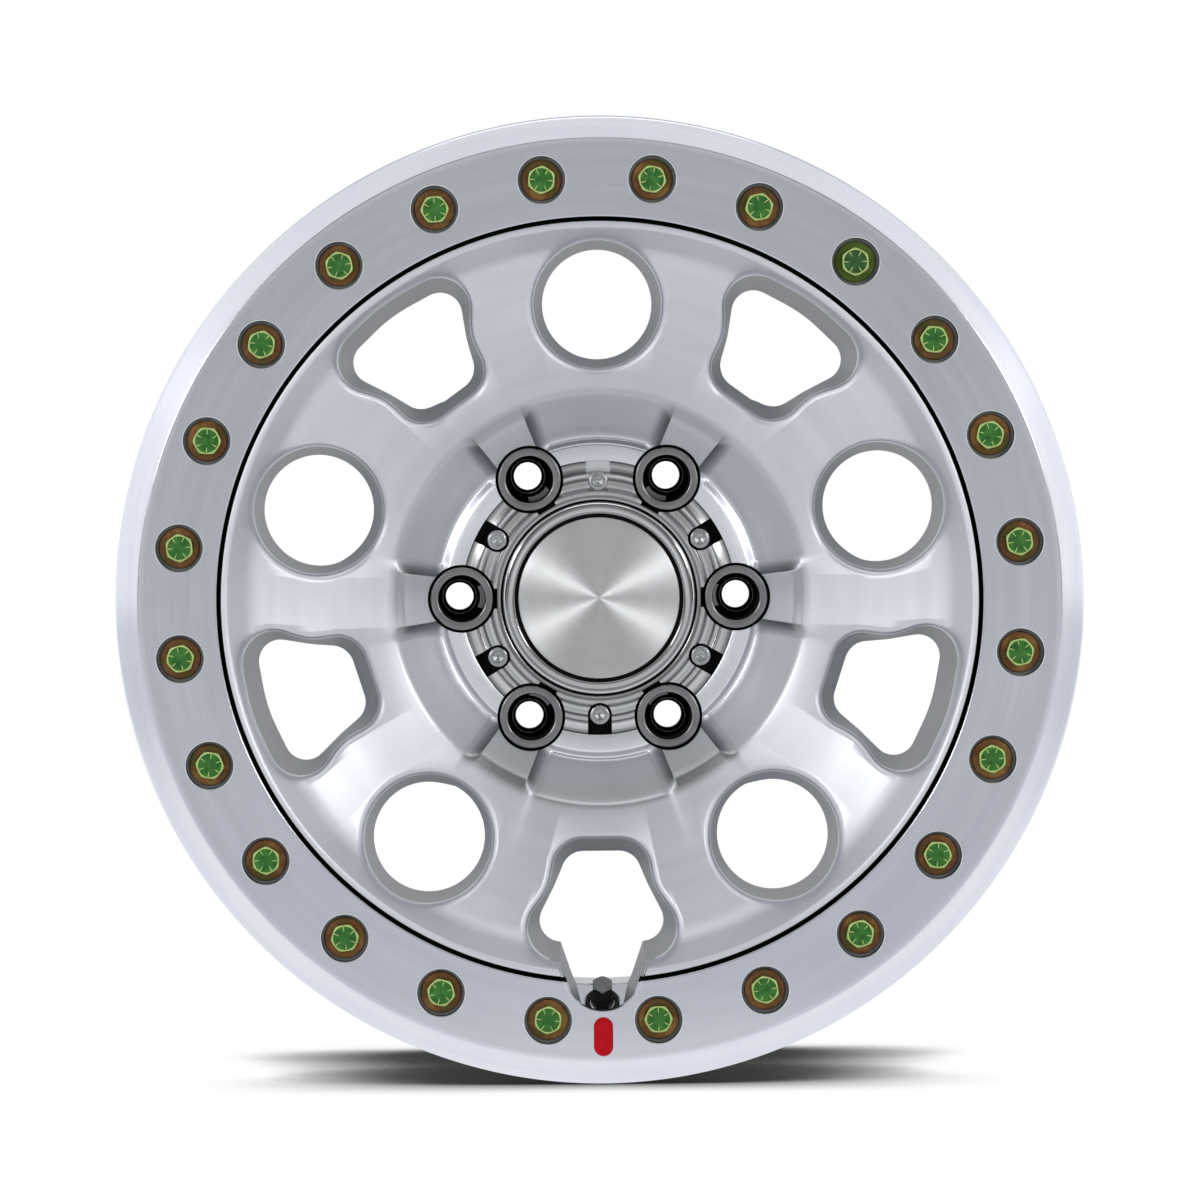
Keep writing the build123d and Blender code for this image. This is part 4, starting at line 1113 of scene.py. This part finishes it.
def makeFloor():
    s = studio
    half = s["floorSize"] / 2
    mesh = bpy.data.meshes.new("floor")
    mesh.from_pydata([(-half, -half, 0), (half, -half, 0), (half, half, 0), (-half, half, 0)], [],
                     [(0, 1, 2, 3)])
    floor = addObject("floor", mesh)
    floor.location.z = s["floorZ"]
    material, tree, shader = startMaterial("paleFloor", (s["floorTone"],) * 3, 0.9, 0.0)
    paths = node(tree, "LightPath")
    seen = maths(tree, "MAXIMUM", paths.outputs["Is Camera Ray"], paths.outputs["Is Transmission Ray"])
    diffuse = node(tree, "BsdfDiffuse", None, Color=(s["floorTone"],) * 3 + (1,)).outputs[0]
    # plain white for the camera, with a painted shadow from ambient occlusion where the wheel covers it
    # closely
    cover = node(tree, "AmbientOcclusion", {"samples": 16}, Distance=s["shadeReach"]).outputs["AO"]
    contactShadow = ramp(tree, cover, [(0.0, 0.015), (0.4, 0.06), (0.65, 0.45), (0.88, 1.0)])
    # in the metal the floor looks bright below the wheel and greyer from 0.8 metres in front of it
    depth = node(tree, "SeparateXYZ", None, Vector=objectPlace(tree)).outputs["Y"]
    ahead = maths(tree, "MULTIPLY", depth, -0.25)
    reflected = ramp(tree, ahead, [(0.0, s["below"]), (0.07, s["below"]), (0.19, s["front"])])
    glow = node(tree, "Emission", None, Color=mixed(tree, seen, reflected, contactShadow), Strength=1.0).outputs[0]
    mirrored = maths(tree, "MULTIPLY", paths.outputs["Is Glossy Ray"], s["mirrored"])
    amount = maths(tree, "MAXIMUM", seen, mirrored)
    surface = node(tree, "MixShader", None, _0=amount, _1=diffuse, _2=glow).outputs[0]
    tree.links.new(surface, tree.nodes["Material Output"].inputs["Surface"])
    tree.nodes.remove(shader)
    mesh.materials.append(material)


def makeWorld():
    # white where the camera looks past the wheel; for the metal, a dark ring around the camera's side
    # between two paler parts, all of it darker overhead
    s = studio
    world = bpy.data.worlds.new("studio")
    bpy.context.scene.world = world
    world.use_nodes = True
    tree = world.node_tree
    back = tree.nodes["Background"]
    way = node(tree, "TexCoord").outputs["Generated"]
    direction = node(tree, "SeparateXYZ", None, _0=way)
    ahead = maths(tree, "MULTIPLY_ADD", direction.outputs["Y"], -0.5, 0.5)
    up = maths(tree, "MULTIPLY_ADD", direction.outputs["Z"], 0.5, 0.5)
    around = ramp(tree, ahead, [(0.0, s["behind"]), (0.5, s["sides"]), (0.84, s["sides"]),
                                (0.875, s["sides"] * 0.95), (0.905, s["shade"]), (0.965, s["shade"]),
                                (0.985, s["ahead"])])
    height = ramp(tree, up, [(0.45, 1.0), (0.8, 0.92), (0.97, s["overhead"])])
    tone = mixed(tree, 1.0, around, height, "MULTIPLY")
    # beside the camera it is darker at the upper left and right, and brighter at the lower left and right;
    # the shift is to the direction in which the wheel's flat faces mirror the camera's
    middle = vector(tree, "ADD", way, (-0.011, 0, 0.0244))
    turn = vector(tree, "NORMALIZE", vector(tree, "MULTIPLY", middle, (1, 0, 1)))
    rise = maths(tree, "MULTIPLY_ADD", node(tree, "SeparateXYZ", None, _0=turn).outputs["Z"], 0.5, 0.5)
    plain, pale, dark = s["plainSide"], s["paleSide"], s["darkSide"]
    sides = ramp(tree, rise, [(0.0, plain), (0.16, plain), (0.2, pale), (0.47, pale), (0.53, dark),
                              (0.84, dark), (0.9, plain)])
    near = ramp(tree, ahead, [(0.93, 0.0), (0.97, 1.0)])
    tone = mixed(tree, near, tone, sides, "MULTIPLY")
    # dark cards stand level with the wheel and above it on both sides
    cards = ramp(tree, rise, [(0.0, 0.85), (0.3, 1.0), (0.41, 1.0), (0.44, s["card"]), (0.56, s["card"]),
                              (0.6, 1.0), (0.8, 1.0), (0.9, s["highCard"]), (0.96, s["highCard"]),
                              (1.0, 0.8)])
    wide = ramp(tree, ahead, [(0.88, 0.0), (0.905, 1.0), (0.985, 1.0), (0.998, 0.0)])
    tone = mixed(tree, wide, tone, cards, "MULTIPLY")
    seen = node(tree, "LightPath").outputs["Is Camera Ray"]
    tree.links.new(mixed(tree, seen, tone, (1, 1, 1, 1)), back.inputs["Color"])
    back.inputs["Strength"].default_value = 1.0


def softbox(name, place, length, width, spin, power):
    # a rectangle that faces the wheel, its length turned by the spin about its own axis
    lamp = bpy.data.lights.new(name, "AREA")
    lamp.shape = "RECTANGLE"
    lamp.size, lamp.size_y, lamp.energy = length, width, power
    thing = addObject(name, lamp)
    thing.location = place
    facing = (-Vector(place)).to_track_quat("-Z", "Y").to_matrix()
    thing.rotation_euler = (facing @ Matrix.Rotation(math.radians(spin), 3, "Z")).to_euler()


def makeCamera():
    v = view
    e, a = math.radians(v["elevation"]), math.radians(v["left"])
    place = Vector((-math.sin(a) * math.cos(e), -math.cos(a) * math.cos(e), math.sin(e))) * v["distance"]
    aim = Vector((v["aimAcross"], v["aimDepth"], v["aimUp"]))
    camera = addObject("camera", bpy.data.cameras.new("camera"))
    camera.data.lens = v["lens"]
    camera.data.sensor_width = 36.0
    camera.location = place
    level = (aim - place).to_track_quat("-Z", "Y").to_matrix()
    camera.rotation_euler = (level @ Matrix.Rotation(math.radians(-v["roll"]), 3, "Z")).to_euler()
    bpy.context.scene.camera = camera


makeFloor()
makeWorld()
for lamp in lamps:
    softbox(*lamp)
makeCamera()
bpy.context.scene.view_settings.view_transform = "Standard"
print("stage set")
